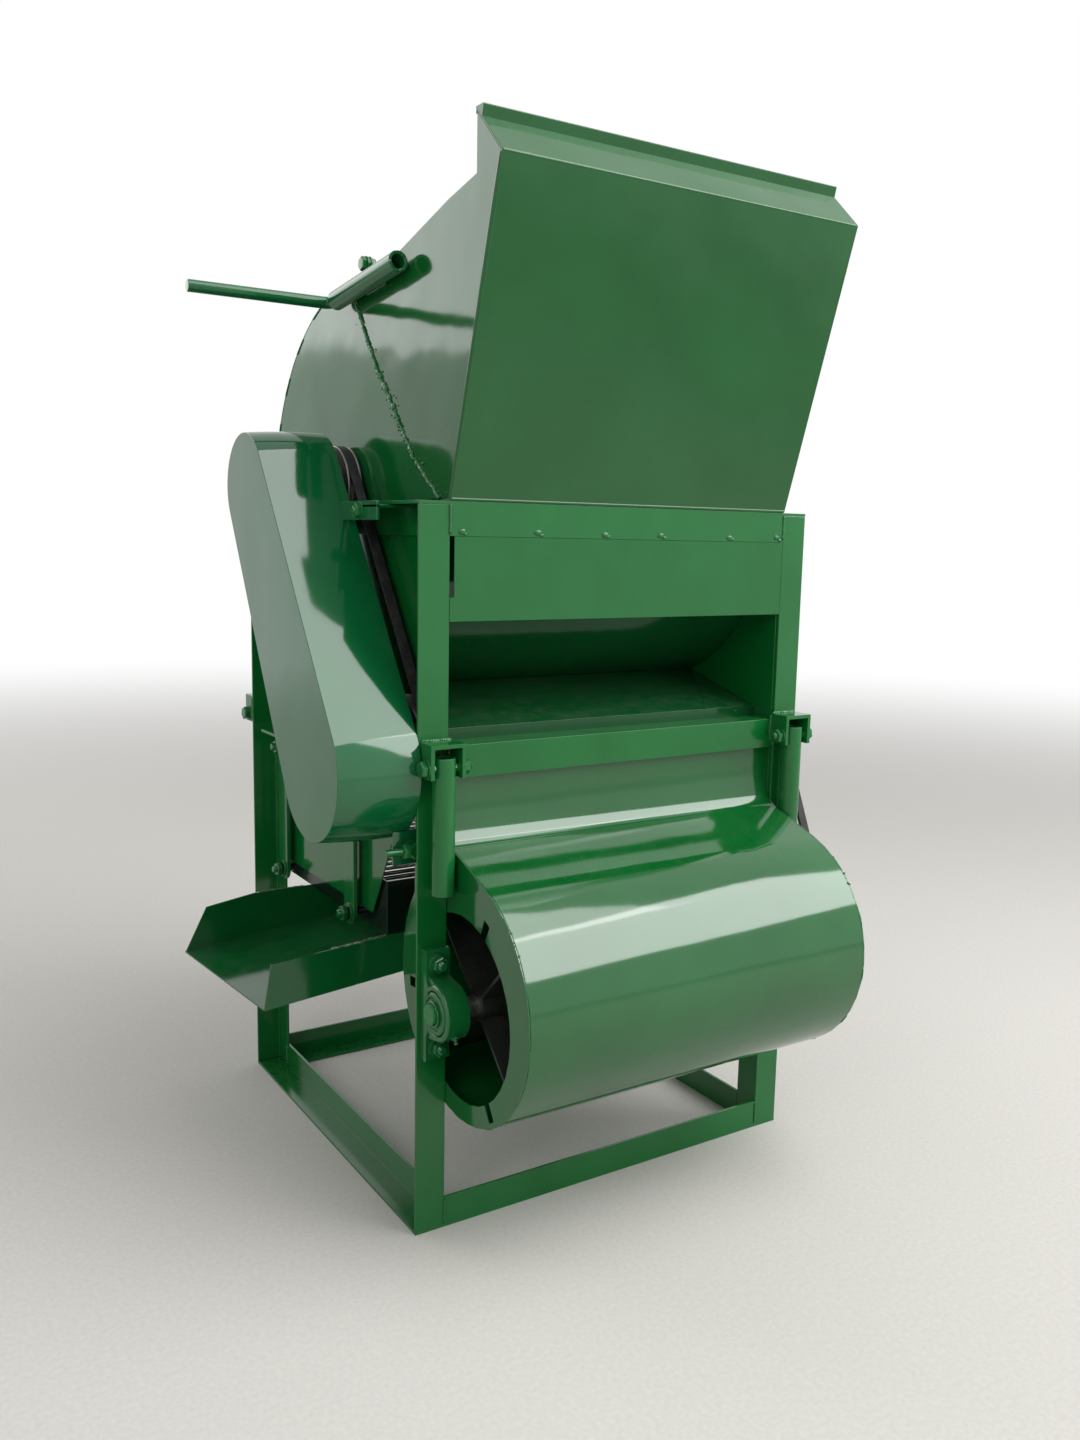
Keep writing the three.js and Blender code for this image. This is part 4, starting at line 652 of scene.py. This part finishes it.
reached = maths(tree, "MULTIPLY_ADD", rough_edge, edge_raggedness, reach.outputs["Value"])
worn = stretched(tree, reached, paint_thins, paint_gone)
tip = mixed(tree, worn, coat.outputs["Color"], bare_tip)
tree.links.new(worn, shader.inputs["Metallic"])
lay_on(tree, shader, bump, tip, coat.outputs["Roughness"], coat.outputs["Height"])
dress(["picking_drum"], drum_finish, rounding=0.0004)

# The shaft of the drum is 25 mm bright bar. It and the crankshaft turn in oval cast bearing units
# that are bolted through the side plates, each with a grease nipple on its hub.
bare, put_in, put_out = shader_group(
    "bare_metal",
    [("Clean", "Color", (0.5, 0.49, 0.47, 1)), ("Dirty", "Color", (0.2, 0.19, 0.18, 1)),
     ("Polish", "Float", 0.3), ("Rust", "Float", 0.2), ("Grain", "Float", 0.03)],
    [("Color", "Color"), ("Roughness", "Float"), ("Height", "Float")],
)
rust_colour = (0.13, 0.05, 0.022, 1)
oil_dulls = 0.14
rust_dulls = 0.4
# Bare metal: clean where it is rubbed, darker where oil and dirt sit, with rust coming through.
coords = placed(bare, "ShaderNodeTexCoord").outputs["Object"]
blotch = noise(bare, coords, 32.0, 8.0, 0.65)
oily = stretched(bare, blotch, 0.38, 0.68)
tone = mixed(bare, oily, put_in["Clean"], put_in["Dirty"])
pits = noise(bare, coords, 90.0, 10.0, 0.75)
pitted = stretched(bare, pits, 0.52, 0.66)
rusty = maths(bare, "MULTIPLY", pitted, put_in["Rust"])
stained = mixed(bare, rusty, tone, rust_colour)
bare.links.new(stained, put_out["Color"])
rougher = maths(bare, "MULTIPLY_ADD", oily, oil_dulls, put_in["Polish"])
roughest = maths(bare, "MULTIPLY_ADD", rusty, rust_dulls, rougher)
bare.links.new(roughest, put_out["Roughness"])
grain = maths(bare, "MULTIPLY", pits, put_in["Grain"])
bare.links.new(grain, put_out["Height"])


def metal(name, clean, dirty, polish=0.3, rust=0.3, grain=0.05):
    """A material of bare metal, with its colour where it is rubbed clean and where it is dirty."""
    finish, tree, shader, bump = new_finish(name, 0.5)
    shader.inputs["Metallic"].default_value = 1
    surface = placed(tree, "ShaderNodeGroup", {
        "Clean": (*clean, 1), "Dirty": (*dirty, 1), "Polish": polish, "Rust": rust, "Grain": grain,
    }, node_tree=bare).outputs
    lay_on(tree, shader, bump, surface["Color"], surface["Roughness"], surface["Height"])
    return finish


shaft_steel = metal(
    "shaft_steel", (0.47, 0.46, 0.44), (0.21, 0.20, 0.19), polish=0.26, rust=0.25, grain=0.02,
)
dress(["drum_shaft"], shaft_steel, rounding=0.0006)
cast_enamel = enamel(
    "cast_enamel", (0.003, 0.090, 0.020), (0.010, 0.140, 0.036), roughness=0.16, waves=0.05, peel=0.05,
    dust=0.05,
)


def convex(circles, steps=48):
    """The outline of a plate that wraps several circles, each given by its centre and radius."""
    spots = [Vector(spot) for centre, radius in circles for spot in circle(centre, radius, steps)]
    return [tuple(spots[k]) for k in convex_hull_2d(spots)]


def add_nipple(bm, seat, direction):
    """A grease nipple: a small hexagon with a waisted tip."""
    add_hex(bm, seat, direction, 8, 3)
    way = Vector(direction).normalized()
    add_turned(bm, [
        (0, 0), (2.6, 0), (2.6, 1.5), (1.7, 2.6), (2.7, 4.2), (2.7, 5.2), (1.4, 6.4), (0, 6.4),
    ], Vector(seat) + way * 2.9, way, sides=16)


def flange_unit(name, x, hub_way, centre, shaft_radius, node):
    """One oval bearing unit: foot with two bolts, domed hub, inner ring and grease nipple."""
    foot_thickness = 13
    bolt_reach = 49.5
    bolt_end = 15
    hub_foot = 34
    hub_bore = shaft_radius + 4.2
    ring_bore = shaft_radius + 0.3
    way = (hub_way, 0, 0)
    y, z = centre
    bm = bmesh.new()
    foot = convex([((y - bolt_reach, z), bolt_end), (centre, hub_foot), ((y + bolt_reach, z), bolt_end)])
    low, high = sorted((x, x + hub_way * foot_thickness))
    add_slab(bm, foot, "x", low, high, [circle(centre, hub_bore, 40)])
    add_turned(bm, [
        (hub_bore, 2), (31, 2), (31, 13), (27, 16), (24.2, 21), (24, 24.6), (23, 26),
        (hub_bore + 0.8, 26), (hub_bore, 25),
    ], (x, y, z), way, sides=48, closed=True)
    add_turned(bm, [
        (ring_bore, 1), (hub_bore - 0.2, 1), (hub_bore - 0.2, 25), (hub_bore - 0.8, 25.6), (ring_bore, 25.6),
    ], (x, y, z), way, sides=40, closed=True)
    for side in (-1, 1):
        add_bolt(bm, (x + hub_way * foot_thickness, y + side * bolt_reach, z), way, 10, tail=4)
    lean = Vector((hub_way * 0.25, 0.35, 0.9)).normalized()
    add_nipple(bm, Vector((x + hub_way * 18, y, z)) + Vector((0, lean.y, lean.z)) * 24.5, lean)
    make_piece(name, bm, "machine", cast_enamel, rounding=0.0012, replaces=(node,))


crank_axis = (84, 590)
shafts = (("drum", flange + 3.6, drum_axis, 12.5), ("crank", flange + 2.6, crank_axis, 10))
for side, edge, out in both_sides(0):
    for shaft, inset, axis, shaft_radius in shafts:
        unit_name = f"{shaft}_bearing_unit_{side}"
        flange_unit(unit_name, edge - out * inset, -out, axis, shaft_radius, f"{shaft}_bearing_{side}")

# Cast iron V pulleys under a film of rust and belt dust. One A-section belt runs from the drum to
# the crank on the left, another from the drum to the fan on the right, beside an open outer groove.
fan_axis = (-36.8, 301.5)
left_drive_x = 24
right_drive_x = 617
drum_pulley_radius = 57
crank_pulley_radius = 76
fan_drive_radius = 95
fan_pulley_radius = 40
engine_groove_radius = 110
groove_spacing = 24
pulley_iron = metal(
    "pulley_iron", (0.34, 0.33, 0.315), (0.24, 0.23, 0.22), polish=0.36, rust=0.22,
)


def groove(radius, middle):
    """The rim of a pulley with its V groove, from one face to the other."""
    half = [(radius - 0.8, 10), (radius, 9.2), (radius, 7.2), (radius - 0.7, 6.5), (radius - 11, 2.9)]
    near = [(r, middle - along) for r, along in half]
    far = [(r, middle + along) for r, along in reversed(half)]
    return near + far


def add_pulley(bm, radius, x, centre, bore, out):
    """One grooved wheel: hub to the outside, a web set back from both faces, a set screw."""
    y, z = centre
    hub_end = [(bore, 16), (21, 16), (22, 15)]
    web = [(22, 5), (24, 3.6), (radius - 19, 3.6), (radius - 16, 5), (radius - 15, 10)]
    back = [(r, -along) for r, along in reversed(web)] + [(22, -10), (bore, -10)]
    profile = hub_end + web + groove(radius, 0)[::-1] + back
    add_turned(bm, profile, (x, y, z), (out, 0, 0), sides=72, closed=True)
    set_screw = [(0, 0), (3, 0), (3, 2.6), (1.5, 2.6), (1.5, 1), (0, 1)]
    add_turned(bm, set_screw, (x + out * 13, y, z + 20), (0, 0, 1), sides=12)


def belt_line(rounds, steps, grown=0.0):
    """The line that a belt takes round two circles, each given by its centre and radius."""
    (first, first_radius), (second, second_radius) = [(centre, radius + grown) for centre, radius in rounds]
    apart = Vector(second) - Vector(first)
    way = math.atan2(apart.y, apart.x)
    half = math.acos((first_radius - second_radius) / apart.length)
    spots = []
    for centre, radius, start, end in (
        (first, first_radius, way + half, way + 2 * math.pi - half),
        (second, second_radius, way - half, way + half),
    ):
        turns = [start + (end - start) * i / steps for i in range(steps + 1)]
        spots += [on_circle(centre, radius, angle) for angle in turns]
    return spots


def add_belt(bm, rounds, x):
    """An endless V belt: its section swept along the line round both pulleys."""
    half = [(3.3, -8), (3.8, -7.6), (6.3, -1.6), (6.5, -0.6), (6.0, 0)]
    section = half + [(-side, height) for side, height in reversed(half)]
    rows = []
    for side, height in section:
        rows.append([bm.verts.new((x + side, y, z)) for y, z in belt_line(rounds, 40, height)])
    for row, after in zip(rows, rows[1:] + rows[:1]):
        join_loops(bm, row, after)


for name, radius, axis, bore, out, x, body in (
    ("drum_pulley_left", drum_pulley_radius, drum_axis, 12.8, -1, left_drive_x, "drum"),
    ("crank_pulley", crank_pulley_radius, crank_axis, 10.3, -1, left_drive_x, "crank"),
    ("fan_pulley", fan_pulley_radius, fan_axis, 12.8, 1, right_drive_x, "fan"),
):
    wheel = bmesh.new()
    add_pulley(wheel, radius, x, axis, bore, out)
    make_piece(name + "_wheel", wheel, body, pulley_iron, replaces=(name,))
stepped = bmesh.new()
add_turned(stepped, [
    (12.8, -10), *groove(fan_drive_radius, 0), *groove(engine_groove_radius, groove_spacing),
    (94, 34), (92, 27), (88, 25), (28, 25), (26, 27), (25, 34), (12.8, 34),
], (right_drive_x, *drum_axis), (1, 0, 0), sides=96, closed=True)
make_piece(
    "drum_pulley_right_wheel", stepped, "drum", pulley_iron, replaces=("drum_pulley_right",),
)

# The belts are black rubber with a woven cover, polished on their flanks and dusty on their backs.
# They are drawn as they run, taut round both pulleys of their drive.
belt_finish, tree, shader, bump = new_finish("belt_cover", 0.4)
coords = placed(tree, "ShaderNodeTexCoord").outputs["Object"]
cloth = placed(tree, "ShaderNodeTexWave", {
    "Vector": coords, "Scale": 420.0, "Distortion": 2.0, "Detail": 2.0,
}, bands_direction="DIAGONAL")
dust = noise(tree, coords, 60.0, 8.0, 0.7)
dusted = stretched(tree, dust, 0.45, 0.75)
black = mixed(tree, dusted, (0.008, 0.008, 0.009, 1), (0.045, 0.044, 0.042, 1))
flank = stretched(tree, dust, 0.0, 1.0, 0.35, 0.7)
woven = maths(tree, "MULTIPLY", cloth.outputs["Fac"], 0.12)
lay_on(tree, shader, bump, black, flank, woven)
crank_drive = ((drum_axis, drum_pulley_radius), (crank_axis, crank_pulley_radius))
fan_drive = ((drum_axis, fan_drive_radius), (fan_axis, fan_pulley_radius))
for name, rounds, x in (("crank_belt", crank_drive, left_drive_x), ("fan_belt", fan_drive, right_drive_x)):
    band = bmesh.new()
    add_belt(band, rounds, x)
    make_piece(name + "_cover", band, "machine", belt_finish, rounding=0, replaces=(name,))

# The crankshaft carries an eccentric in the middle, and a forged rod takes its throw of 5 mm down
# to the screen box. Both are plain machined steel under a film of oil.
oiled_steel = metal("oiled_steel", (0.33, 0.32, 0.30), (0.12, 0.115, 0.11), grain=0.04)
dress(["crankshaft", "connecting_rod"], oiled_steel)

# The screen box is black sheet with bright rods across it, and hangs from the mid rails on four
# flat bars. Bolts with nuts are their pivots; the spray gun has caught the side of the box.
black_enamel = enamel(
    "black_enamel", (0.003, 0.005, 0.004), (0.006, 0.018, 0.010), roughness=0.15, waves=0.3, peel=0.02,
    dust=0.15,
)
dress(["screen_box"], black_enamel)
rod_steel = metal(
    "rod_steel", (0.80, 0.79, 0.77), (0.52, 0.51, 0.49), polish=0.14, rust=0.05, grain=0.01,
)


def rectangle(low, high):
    """The outline of a plate with square corners, between its lower and its upper corner."""
    return [low, (high[0], low[1]), high, (low[0], high[1])]


screen_left = 47.3
screen_front = 180.3
screen_back = 552.7
screen_depth = screen_back - screen_front
rod_count = 17
rod_height = 396
rod_length = frame_width - 2 * screen_left
rod_profile = [(0, 0), (2.4, 0), (3, 0.6), (3, rod_length - 0.6), (2.4, rod_length), (0, rod_length)]
bar_thickness = 4
bar_outline = rectangle((screen_front, rod_height - 9), (screen_back, rod_height))
screen = bmesh.new()
for i in range(rod_count):
    y = screen_front + screen_depth * (i + 0.5) / rod_count
    add_turned(screen, rod_profile, (screen_left, y, rod_height), (1, 0, 0), sides=14)
for share in (0, 0.5, 1):
    x = screen_left + (rod_length - bar_thickness) * share
    add_slab(screen, bar_outline, "x", x, x + bar_thickness)
make_piece(
    "screen_bright_rods", screen, "screen", rod_steel, rounding=0, replaces=("screen_rods",),
)

hanger_enamel = enamel(
    "hanger_enamel", (0.003, 0.100, 0.020), (0.008, 0.145, 0.034), waves=0.05, peel=0.02, dust=0.03,
)
dress(
    ["hanger_front_left", "hanger_front_right", "hanger_rear_left", "hanger_rear_right"],
    hanger_enamel, rounding=0.0008,
)
pivots_y = (262, 516)
nut_inset = 20.8
nut_flats = 19.4
nut_height = 7
pivot_washer = [(6.4, 0), (12.6, 0), (13, 0.4), (13, 1.8), (12.6, 2.2), (6.4, 2.2)]
for name, body, z in (("upper_pivots", "machine", 534), ("lower_pivots", "screen", 340)):
    pivots = bmesh.new()
    for y in pivots_y:
        for _, x, out in both_sides(nut_inset):
            way = (out, 0, 0)
            add_hex(pivots, (x, y, z), way, nut_flats, nut_height)
            add_thread(pivots, (x + out * 6.5, y, z), way, 6, 5, pitch=1.75)
            add_turned(pivots, pivot_washer, (x - out * 5.2, y, z), way, sides=28, closed=True)
    make_piece("hanger_" + name, pivots, body, hanger_enamel, rounding=0.0002)

# Shells fall through the screen into a trough of bent sheet that slopes out to the left. Its rim
# was cut with hand shears and has lost its paint along the cut.
trough_enamel = enamel(
    "trough_enamel", (0.002, 0.075, 0.016), (0.005, 0.110, 0.026), roughness=0.09, waves=0.5, peel=0.006,
)
dress(["outlet_trough"], trough_enamel, rounding=0.0004)
sheared_edge = metal("sheared_edge", (0.42, 0.46, 0.42), (0.03, 0.13, 0.05))
front_rim = [(-34, 179, 321.8), (4, 179, 324.6), (44, 179, 327.8)]
rear_rim = [(-40, 449, 327.8), (32, 449, 327.8)]
trough_dice = random.Random(31)
trough_rim = bmesh.new()
add_bead(trough_rim, front_rim, 1.5, trough_dice, ripple=17, wander=0.8)
add_bead(trough_rim, rear_rim, 1.2, trough_dice, ripple=11, wander=0.5)
make_piece("trough_rim", trough_rim, "screen", sheared_edge, rounding=0)

# The fan housing is one sheet rolled into a scroll, with a duct that rises to the cross rail. Its
# end plates have an inlet with three slots, and are welded to the scroll all round.
fan_enamel = enamel(
    "fan_enamel", (0.002, 0.082, 0.014), (0.005, 0.115, 0.023), roughness=0.08, waves=0.9, peel=0.006,
    dust=0.03, specular=0.8,
)
dress(["fan_end_left", "fan_end_right"], fan_enamel, rounding=0.0004)


def add_bent_sheet(bm, line, thickness, low, high, panes):
    """A sheet bent along a line across X; its second face lies to the right of the line's way."""
    spots = [Vector(spot) for spot in line]
    inner = []
    for i, spot in enumerate(spots):
        way = (spots[min(i + 1, len(spots) - 1)] - spots[max(i - 1, 0)]).normalized()
        inner.append(spot + Vector((way.y, -way.x)) * thickness)
    loop = spots + inner[::-1]
    rows = [
        [bm.verts.new((low + (high - low) * k / panes, y, z)) for y, z in loop] for k in range(panes + 1)
    ]
    for row, after in zip(rows, rows[1:]):
        join_loops(bm, row, after)
    count = len(spots)
    for row in (rows[0], rows[-1]):
        for i in range(count - 1):
            bm.faces.new((row[i], row[i + 1], row[2 * count - 2 - i], row[2 * count - 1 - i]))


def bend(start, corner, end, steps):
    """The points of a smooth bend whose two straight sides would meet in a corner."""
    shares = [i / steps for i in range(steps + 1)]
    return [between(between(start, corner, t), between(corner, end, t), t) for t in shares]


scroll_middle = (-36, 317)
scroll_radius = 156
scroll_start = 38
scroll_sweep = 288.5
scroll_steps = 96
duct_top = (8, 603)
housing_sheet = 2
housing_inset = flange + 2.6
scroll = [
    on_circle(scroll_middle, scroll_radius, math.radians(scroll_start - scroll_sweep * i / scroll_steps))
    for i in range(scroll_steps + 1)
]
scroll += bend((-10, 491), (8, 498), (8, 547), 12) + [duct_top]
housing = bmesh.new()
add_bent_sheet(housing, scroll, housing_sheet, housing_inset, frame_width - housing_inset, 12)
make_piece("fan_scroll", housing, "machine", fan_enamel, replaces=("fan_housing",))

rim_stitches = range(26, -255, -28)
duct_front = -2
duct_foot = 330
fleck_count = 16
fan_dice = random.Random(5)
fan_welds = bmesh.new()
for _, x, out in both_sides(flange):
    for start in rim_stitches:
        angles = [math.radians(start - step) for step in (0, 3, 6)]
        run = [(x - out * 1.4, *on_circle(scroll_middle, scroll_radius - 0.4, angle)) for angle in angles]
        if all(y < duct_front or z < duct_foot for _, y, z in run):
            add_bead(fan_welds, run, 1.2, fan_dice, wander=0.1)
    for _ in range(fleck_count):
        angle = math.radians(fan_dice.uniform(118, 158))
        reach = scroll_radius - 0.2 + fan_dice.uniform(-0.8, 0.4)
        spot = (x - out * fan_dice.uniform(0.2, 3), *on_circle(scroll_middle, reach, angle))
        add_tack(fan_welds, spot, fan_dice.uniform(0.8, 1.7), fan_dice, (1, 1, 1))
make_piece("fan_welds", fan_welds, "machine", weld_enamel, rounding=0)

# The fan turns on a bright shaft, painted over where it ends outside, with a hub of tube and four
# flat blades. The blades' steel is painted very dark, as painted shade for the inside of the housing.
shaded_blade_finish = metal("blade_steel", (0.10, 0.11, 0.10), (0.035, 0.045, 0.038), polish=0.45)
dress(["fan_impeller"], shaded_blade_finish)
paint_ends = foot_corner[0] + flange / 1000
bare_from = paint_ends + 0.010
fan_shaft_finish, tree, shader, bump = new_finish("fan_shaft_end", 0.35)
coords = placed(tree, "ShaderNodeTexCoord").outputs["Object"]
across = placed(tree, "ShaderNodeSeparateXYZ", {0: coords})
inside = stretched(tree, across.outputs["X"], paint_ends, bare_from)
surface = placed(tree, "ShaderNodeGroup", node_tree=bare)
coat = placed(tree, "ShaderNodeGroup", node_tree=sprayed)
shown = mixed(tree, inside, coat.outputs["Color"], surface.outputs["Color"])
tree.links.new(inside, shader.inputs["Metallic"])
lay_on(tree, shader, bump, shown, surface.outputs["Roughness"], surface.outputs["Height"])
dress(["fan_shaft"], fan_shaft_finish, rounding=0.0012)

# Its two pillow blocks are iron castings on the front legs, sprayed over with everything on them:
# the inserts with their set screws, the bolts and the grease nipples.
fan_y, fan_z = fan_axis
half_foot = [(-0.3, 70), (-12.5, 70), (-15.3, 68), (-15.3, 35.5), (-19, 29.5)]
foot_outline = [(y, fan_z - rise) for y, rise in half_foot]
foot_outline += [(y, fan_z + rise) for y, rise in reversed(half_foot)]
shoulders = [((-15, fan_z - 33.5), 5), ((-15, fan_z + 33.5), 5)]
seat_outline = convex([(fan_axis, 34), *shoulders], 64)
seat_bore = 27
bolt_reach = 52.5
bolt_washer = [(0, 0), (12.5, 0), (13.5, 0.4), (13.5, 1.2), (0, 1.4)]
set_screw = [(0, 0.2), (1.2, 0.2), (1.4, 1.2), (2.6, 1.2), (3, 0.6), (3, -3), (0, -3)]
# From the outside in: the casting's rim, the outer ring, the seal and the inner ring.
round_parts = (
    ([(27, 6), (28, 5.2), (32.2, 5.2), (33.6, 6.6), (33.9, 9), (33.9, 33), (33.6, 35.4), (32.2, 36.8),
      (28, 36.8), (27, 36)], 72),
    ([(20.6, 3.6), (22.8, 3.2), (25.4, 4.6), (26.6, 7.5), (26.6, 34), (20, 34), (20, 5)], 64),
    ([(16.8, 4.4), (20.2, 5), (20.2, 30), (16.6, 30)], 56),
    ([(12.8, 1.6), (13.6, 1), (15.8, 1), (16.6, 1.8), (16.6, 36), (12.8, 36)], 56),
)
for side, edge, out in both_sides(0):
    inward = (-out, 0, 0)
    unit = bmesh.new()
    low, high = sorted((edge - out * 5, edge - out * 37))
    add_slab(unit, foot_outline, "x", low, high)
    add_slab(unit, seat_outline, "x", low + 2.5, high - 2.5, [circle(fan_axis, seat_bore, 40)])
    for profile, sides in round_parts:
        add_turned(unit, profile, (edge, *fan_axis), inward, sides, closed=True)
    add_turned(unit, set_screw, (edge - out * 2.6, fan_y - 12, fan_z + 11), (0, -0.7, 0.7), sides=6)
    for z in (fan_z - bolt_reach, fan_z + bolt_reach):
        add_turned(unit, bolt_washer, (edge - out * 21, -15.2, z), (0, -1, 0), sides=32)
        add_bolt(unit, (edge - out * 21, -16.2, z), (0, -1, 0), 12, tail=5)
    add_nipple(unit, (edge - out * 20, fan_y - 23.6, fan_z - 23.6), (out * 0.15, -0.7, -0.7))
    make_piece(
        "fan_bearing_unit_" + side, unit, "machine", cast_enamel, rounding=0.0009,
        replaces=("fan_bearing_" + side,),
    )

# The belt guard is a deep shell of 2 mm sheet: a flat face with rounded ends and a band welded
# round it. An angle on the top rail and a tab with a long bolt at the leg hold it.
guard_enamel = enamel(
    "guard_enamel", (0.002, 0.086, 0.024), (0.005, 0.120, 0.036), roughness=0.07, waves=1.3, peel=0.006,
    dust=0.03, specular=0.7,
)
guard_rounds = (((293, 918), 72), ((80, 584), 91))
guard_depth = 103
guard_sheet = 2
guard_steps = 8
draw_in = 4.5
bulge = 6.5
guard = bmesh.new()
loops = []
for thickness, levels in ((0, range(guard_steps + 1)), (guard_sheet, range(guard_steps, -1, -1))):
    for level in levels:
        share = level / guard_steps
        drawn = thickness + draw_in * share - bulge * share * (1 - share)
        x = -(guard_depth - thickness) * share
        outline = belt_line(guard_rounds, 44, -max(drawn, thickness))
        loops.append([guard.verts.new((x, y, z)) for y, z in outline])
outer_face = loops[guard_steps]
inner_face = loops[guard_steps + 1]
for loop, after in zip(loops, loops[1:] + loops[:1]):
    if loop is not outer_face:
        join_loops(guard, loop, after)
guard.faces.new(outer_face)
guard.faces.new(inner_face)
rail_end = flange - 4.3
bracket_face = rectangle((76, 877), (221, 900))
bracket_arm = rectangle((76, 891.7), (126, 895.7))
tab = rectangle((-20, 470), (rail_end, 511))
add_slab(guard, bracket_face, "x", -17, -13)
add_slab(guard, bracket_arm, "x", -17, rail_end)
add_slab(guard, tab, "y", 24, 28)
make_piece(
    "guard_shell", guard, "machine", guard_enamel, rounding=0.0008, replaces=("belt_guard",),
)

tab_bolt_z = 488
tab_washer = [(0, 0), (11, 0), (12, 0.5), (12, 2), (0, 2.2)]
long_bolt = [(0, 0), (5, 0), (5, 1), (4.6, 1.2), (4.6, 33), (3.8, 34.5), (0, 34.6)]
guard_dice = random.Random(17)
guard_bolts = bmesh.new()
add_bolt(guard_bolts, (-17, 124, 888.5), (-1, 0, 0), 10, tail=2)
add_turned(guard_bolts, tab_washer, (6, 24.1, tab_bolt_z), (0, -1, 0), sides=32)
add_hex(guard_bolts, (6, 22, tab_bolt_z), (0, -1, 0), 19, 10)
add_turned(guard_bolts, long_bolt, (2, 17, tab_bolt_z), (-1, 0, 0))
add_hex(guard_bolts, (-3, 17, tab_bolt_z), (-1, 0, 0), 17, 8)
for y in (215, 90):
    add_tack(guard_bolts, (-13, y, 898), 3, guard_dice)
make_piece("guard_bolts", guard_bolts, "machine", weld_enamel, rounding=0.0002)

# Four lengths of pipe are the carry handles. They hang on a bolt in an inverted U of flat bar that
# is welded to the leg, and fold up to stand out level for two people to lift the machine.
handle_enamel = enamel(
    "handle_enamel", (0.003, 0.110, 0.020), (0.008, 0.150, 0.034), roughness=0.10, waves=0.05, peel=0.01,
    dust=0.03,
)
dress(
    ["handle_bracket_front_left", "handle_bracket_front_right", "handle_bracket_rear_left",
     "handle_bracket_rear_right"],
    handle_enamel, rounding=0.0007,
)
handle_inset = 24
handle_away = 20
handle_profile = [
    (11, -152), (11.8, -153), (13.2, -153), (14, -152.2), (14, 11.2), (13.2, 12), (11.8, 12), (11, 11),
]
bolt_seat = 22.8
bracket_half = 23.2
bracket_foot = -9
bracket_top = 27
bracket_bead = 2.1
handle_dice = random.Random(41)
handle_fixings = bmesh.new()
for end, y, leg_y, z in (
    ("front", -handle_away, -0.6, 593), ("rear", frame_depth + handle_away, frame_depth + 0.6, 577),
):
    for side, x, out in both_sides(handle_inset):
        tube = bmesh.new()
        add_turned(tube, handle_profile, (x, y, z), (0, 0, 1), sides=40, closed=True)
        make_piece(
            f"handle_{end}_{side}_pipe", tube, f"handle_{end[0]}{side[0]}", handle_enamel,
            rounding=0, replaces=(f"handle_{end}_{side}",),
        )
        add_bolt(handle_fixings, (x + out * bolt_seat, y, z), (out, 0, 0), 12)
        add_bolt(handle_fixings, (x - out * bolt_seat, y, z), (-out, 0, 0), 12, tail=4)
        for edge in (x - bracket_half, x + bracket_half):
            span = (z + bracket_foot, z + bracket_top)
            add_upright_bead(handle_fixings, edge, leg_y, span, bracket_bead, handle_dice)
        top_weld = [(x + across, leg_y, z + bracket_top + 2.4) for across in (-20, 20)]
        add_bead(handle_fixings, top_weld, bracket_bead, handle_dice)
make_piece("handle_fixings", handle_fixings, "machine", weld_enamel, rounding=0.0002)

# A thick pipe is welded flat against the hopper side, and a bent round bar turns in it as a lever.
# The pipe's open end is still rough from the torch.
lever_enamel = enamel(
    "lever_enamel", (0.002, 0.080, 0.020), (0.006, 0.120, 0.034), roughness=0.14, waves=0.05, peel=0.02,
    dust=0.03,
)
pipe_lean = math.radians(-5.5)
pipe_way = Vector((0, math.cos(pipe_lean), math.sin(pipe_lean)))
pipe_middle = Vector((24, 197, 1170))
pipe_length = 186
lever_dice = random.Random(3)
sleeve = bmesh.new()
add_turned(sleeve, [
    (8.5, 1), (9, 0.2), (12, 0), (12.5, 0.6), (12.5, pipe_length - 0.4), (12, pipe_length),
    (9, pipe_length), (8.5, pipe_length - 0.6),
], pipe_middle - pipe_way * pipe_length / 2, pipe_way, sides=40, closed=True)
for vert in sleeve.verts:
    if (vert.co - pipe_middle).dot(pipe_way) < 3 - pipe_length / 2:
        vert.co += pipe_way * lever_dice.uniform(-0.9, 0.9)
lug = []
for along, rise in rectangle((-30, -6), (30, 6)):
    spot = pipe_middle + pipe_way * along + Vector((0, -pipe_way.z, pipe_way.y)) * rise
    lug.append((spot.y, spot.z))
add_slab(sleeve, lug, "x", 33, flange)
for rise in (-6.4, 6.4):
    ends = [pipe_middle + pipe_way * along + Vector((14.6, 0, rise)) for along in (-28, 28)]
    add_bead(sleeve, ends, 2.2, lever_dice)
make_piece(
    "lever_pipe", sleeve, "machine", lever_enamel, rounding=0, replaces=("lever_sleeve",),
)

# The bar's line, as places across the machine and along the pipe.
bar_radius = 7.8
bar_line = [(0, -70), (0, -69), *bend((0, 95), (0, 109), (-14, 109), 8), (-190, 109), (-191, 109)]
bar_path = [pipe_middle + Vector((across, 0, 0)) + pipe_way * along for across, along in bar_line]
lever = bmesh.new()
add_bar(lever, bar_path, bar_radius)
make_piece(
    "lever_bent_bar", lever, "lever", lever_enamel, rounding=0, replaces=("lever_bar",),
)
